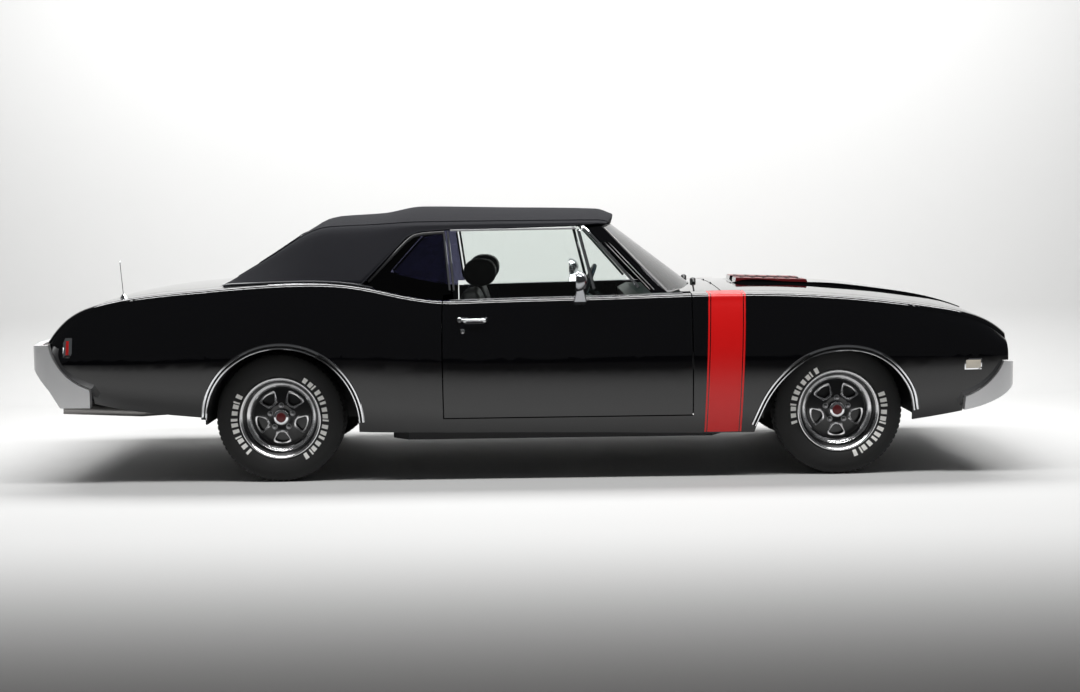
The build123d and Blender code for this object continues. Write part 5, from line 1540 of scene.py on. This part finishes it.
@dataclass
class Rear:
    """Tail lamp bezels and the antenna."""

    skin: Skin

    def build(self) -> None:
        """Build the rear's pieces."""
        bezels = Shape()
        for side in SIDES:
            y = side * 0.700
            bezels.frame(TAIL_X - 0.010, (y - 0.095, 0.582), (y + 0.095, 0.674), 0.006)
        bezels.make("tail_lamp_bezels", CHROME)
        antenna = Shape()
        base = self.skin.above(-2.041, -0.76, 0.0)
        antenna.lathe(base, (0, 0, 1), [(0.020, 0.0), (0.016, 0.010), (0.008, 0.022), (0.0, 0.024)], 24)
        tip = base + Vector((-0.014, 0.0, 0.185))
        antenna.tube([base, tip], 0.0017, 8)
        antenna.lathe(tip, (0, 0, 1), [(0.0, -0.004), (0.003, -0.002), (0.003, 0.002), (0.0, 0.004)], 12)
        antenna.make("antenna", CHROME)


# ---------------------------------------------------------------------------
# Stage
# ---------------------------------------------------------------------------


@dataclass
class Stage:
    """Floor, background, lights and camera."""

    PALE = (0.60, 0.60, 0.595, 1.0)
    # painted shade: the floor fades from DARK, far out in front, to PALE near the car, along y
    DARK = (0.05, 0.048, 0.046, 1.0)
    SHADE_FADE_Y = (-5.2, -2.2)
    WORLD_COLOUR = (0.96, 0.98, 1.0, 1.0)
    WORLD_STRENGTH = 0.06

    at: Point = (0.084, -9.55, 1.399)
    pitch: float = 4.73
    roll: float = 0.82
    lens: float = 57.33
    wall_y: float = 3.2
    wall_z: float = 9.0
    reach: float = 30.0
    bend: float = 0.6

    def camera(self) -> None:
        """Place the camera on the car's right, level with the roof and looking slightly down."""
        data = bpy.data.cameras.new("view")
        data.lens = self.lens
        data.sensor_width = 36.0
        made = bpy.data.objects.new("view", data)
        turn = Matrix.Rotation(math.radians(90.0 - self.pitch), 4, "X") @ Matrix.Rotation(
            math.radians(-self.roll), 4, "Z"
        )
        made.matrix_world = Matrix.Translation(self.at) @ turn
        bpy.context.scene.collection.objects.link(made)
        bpy.context.scene.camera = made

    @staticmethod
    def floor_with_painted_shade() -> bpy.types.Material:
        """Return the floor's material: pale, with painted shade darkening it towards the front, see-through
        from behind.
        """
        made = new_material("floor_with_painted_shade")
        nodes, links = made.node_tree.nodes, made.node_tree.links
        shader = nodes["Principled BSDF"]
        shader.inputs["Roughness"].default_value = 0.8
        colours = (Stage.DARK, Stage.PALE)
        # painted shade: the floor is coloured darker towards the front
        faded = fade_by_place(made.node_tree, "Y", Stage.SHADE_FADE_Y, colours, "SMOOTHSTEP")
        links.new(faded, shader.inputs["Base Color"])
        side = nodes.new("ShaderNodeNewGeometry")
        mix = nodes.new("ShaderNodeMixShader")
        clear = nodes.new("ShaderNodeBsdfTransparent")
        links.new(side.outputs["Backfacing"], mix.inputs["Fac"])
        links.new(shader.outputs["BSDF"], mix.inputs[1])
        links.new(clear.outputs["BSDF"], mix.inputs[2])
        links.new(mix.outputs["Shader"], nodes["Material Output"].inputs["Surface"])
        return made

    def floor(self) -> None:
        """Build the pale floor, with painted shade towards the front, swept up into a plain wall behind the
        car.
        """
        mesh = bpy.data.meshes.new("floor")
        reach, bend = self.reach, self.bend
        line = [(-reach, 0.0)]
        for i in range(13):
            turn = math.pi / 2 * i / 12
            line.append((self.wall_y - bend + bend * math.sin(turn), bend - bend * math.cos(turn)))
        line.append((self.wall_y, self.wall_z))
        verts = [(x, y, z) for y, z in line for x in (-reach, reach)]
        mesh.from_pydata(verts, [], grid_faces(len(line), 2))
        mesh.materials.append(self.floor_with_painted_shade())
        mesh.shade_smooth()
        made = bpy.data.objects.new("floor", mesh)
        bpy.context.scene.collection.objects.link(made)

    def lights(self) -> None:
        """Light the wall and the car's top from above, and its side softly from high in front."""
        for name, place, aim, size, power in (
            ("over", (0.0, 0.9, 4.4), (0.0, 1.5, 0.0), (9.0, 1.6), 420.0),
            ("front_high", (0.0, -2.7, 6.2), (0.0, -1.0, 0.5), (9.0, 0.8), 420.0),
        ):
            data = bpy.data.lights.new(name, "AREA")
            data.shape = "RECTANGLE"
            data.size, data.size_y = size
            data.energy = power
            made = bpy.data.objects.new(name, data)
            made.location = place
            made.rotation_euler = (Vector(aim) - Vector(place)).to_track_quat("-Z", "Y").to_euler()
            bpy.context.scene.collection.objects.link(made)
        world = bpy.data.worlds.new("studio")
        world.use_nodes = True
        back = world.node_tree.nodes["Background"]
        back.inputs["Color"].default_value = self.WORLD_COLOUR
        back.inputs["Strength"].default_value = self.WORLD_STRENGTH
        bpy.context.scene.world = world

    def build(self) -> None:
        """Build the stage."""
        self.camera()
        self.floor()
        self.lights()
        bpy.context.scene.view_settings.view_transform = "Standard"


WHEELS = (
    ("front_right", FRONT_X, RIGHT),
    ("front_left", FRONT_X, LEFT),
    ("rear_right", REAR_X, RIGHT),
    ("rear_left", REAR_X, LEFT),
)
REAR_MARK_ARCS = ((151.0, 228.0), (-56.0, 59.0))


def main() -> None:
    """Dress the car piece by piece."""
    logging.basicConfig(level=logging.INFO, format="%(name)s: %(message)s")
    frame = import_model()
    nodes = frame["nodes"]
    skin = Skin(nodes)
    steps: list[tuple[str, Callable[[], None]]] = [
        ("stage", Stage().build),
        ("finishes", Finishes(nodes).build),
        ("fender stripe", FenderStripe(skin).build),
        ("arch trim", ArchTrim(skin).build),
        ("side trim", SideTrim(skin).build),
        ("soft top", SoftTop().build),
        ("cabin", Cabin().build),
        ("glass trim", GlassTrim().build),
        ("pillar trim", PillarTrim().build),
        ("belt trim", BeltTrim(skin).build),
        ("wheelhouses", Wheelhouse(skin).build),
        ("front end", FrontEnd(skin).build),
        ("rear", Rear(skin).build),
    ]
    for name, x, side in WHEELS:
        arcs = Wheel.mark_arcs if x > 0.0 else REAR_MARK_ARCS
        wheel = Wheel(name, x, side, arcs)
        node = nodes["rim_" + name]
        steps.append(("wheel " + name, lambda w=wheel, n=node: w.build(n)))
    for label, step in steps:
        step()
        LOG.info("%s built", label)


if __name__ == "__main__":
    main()
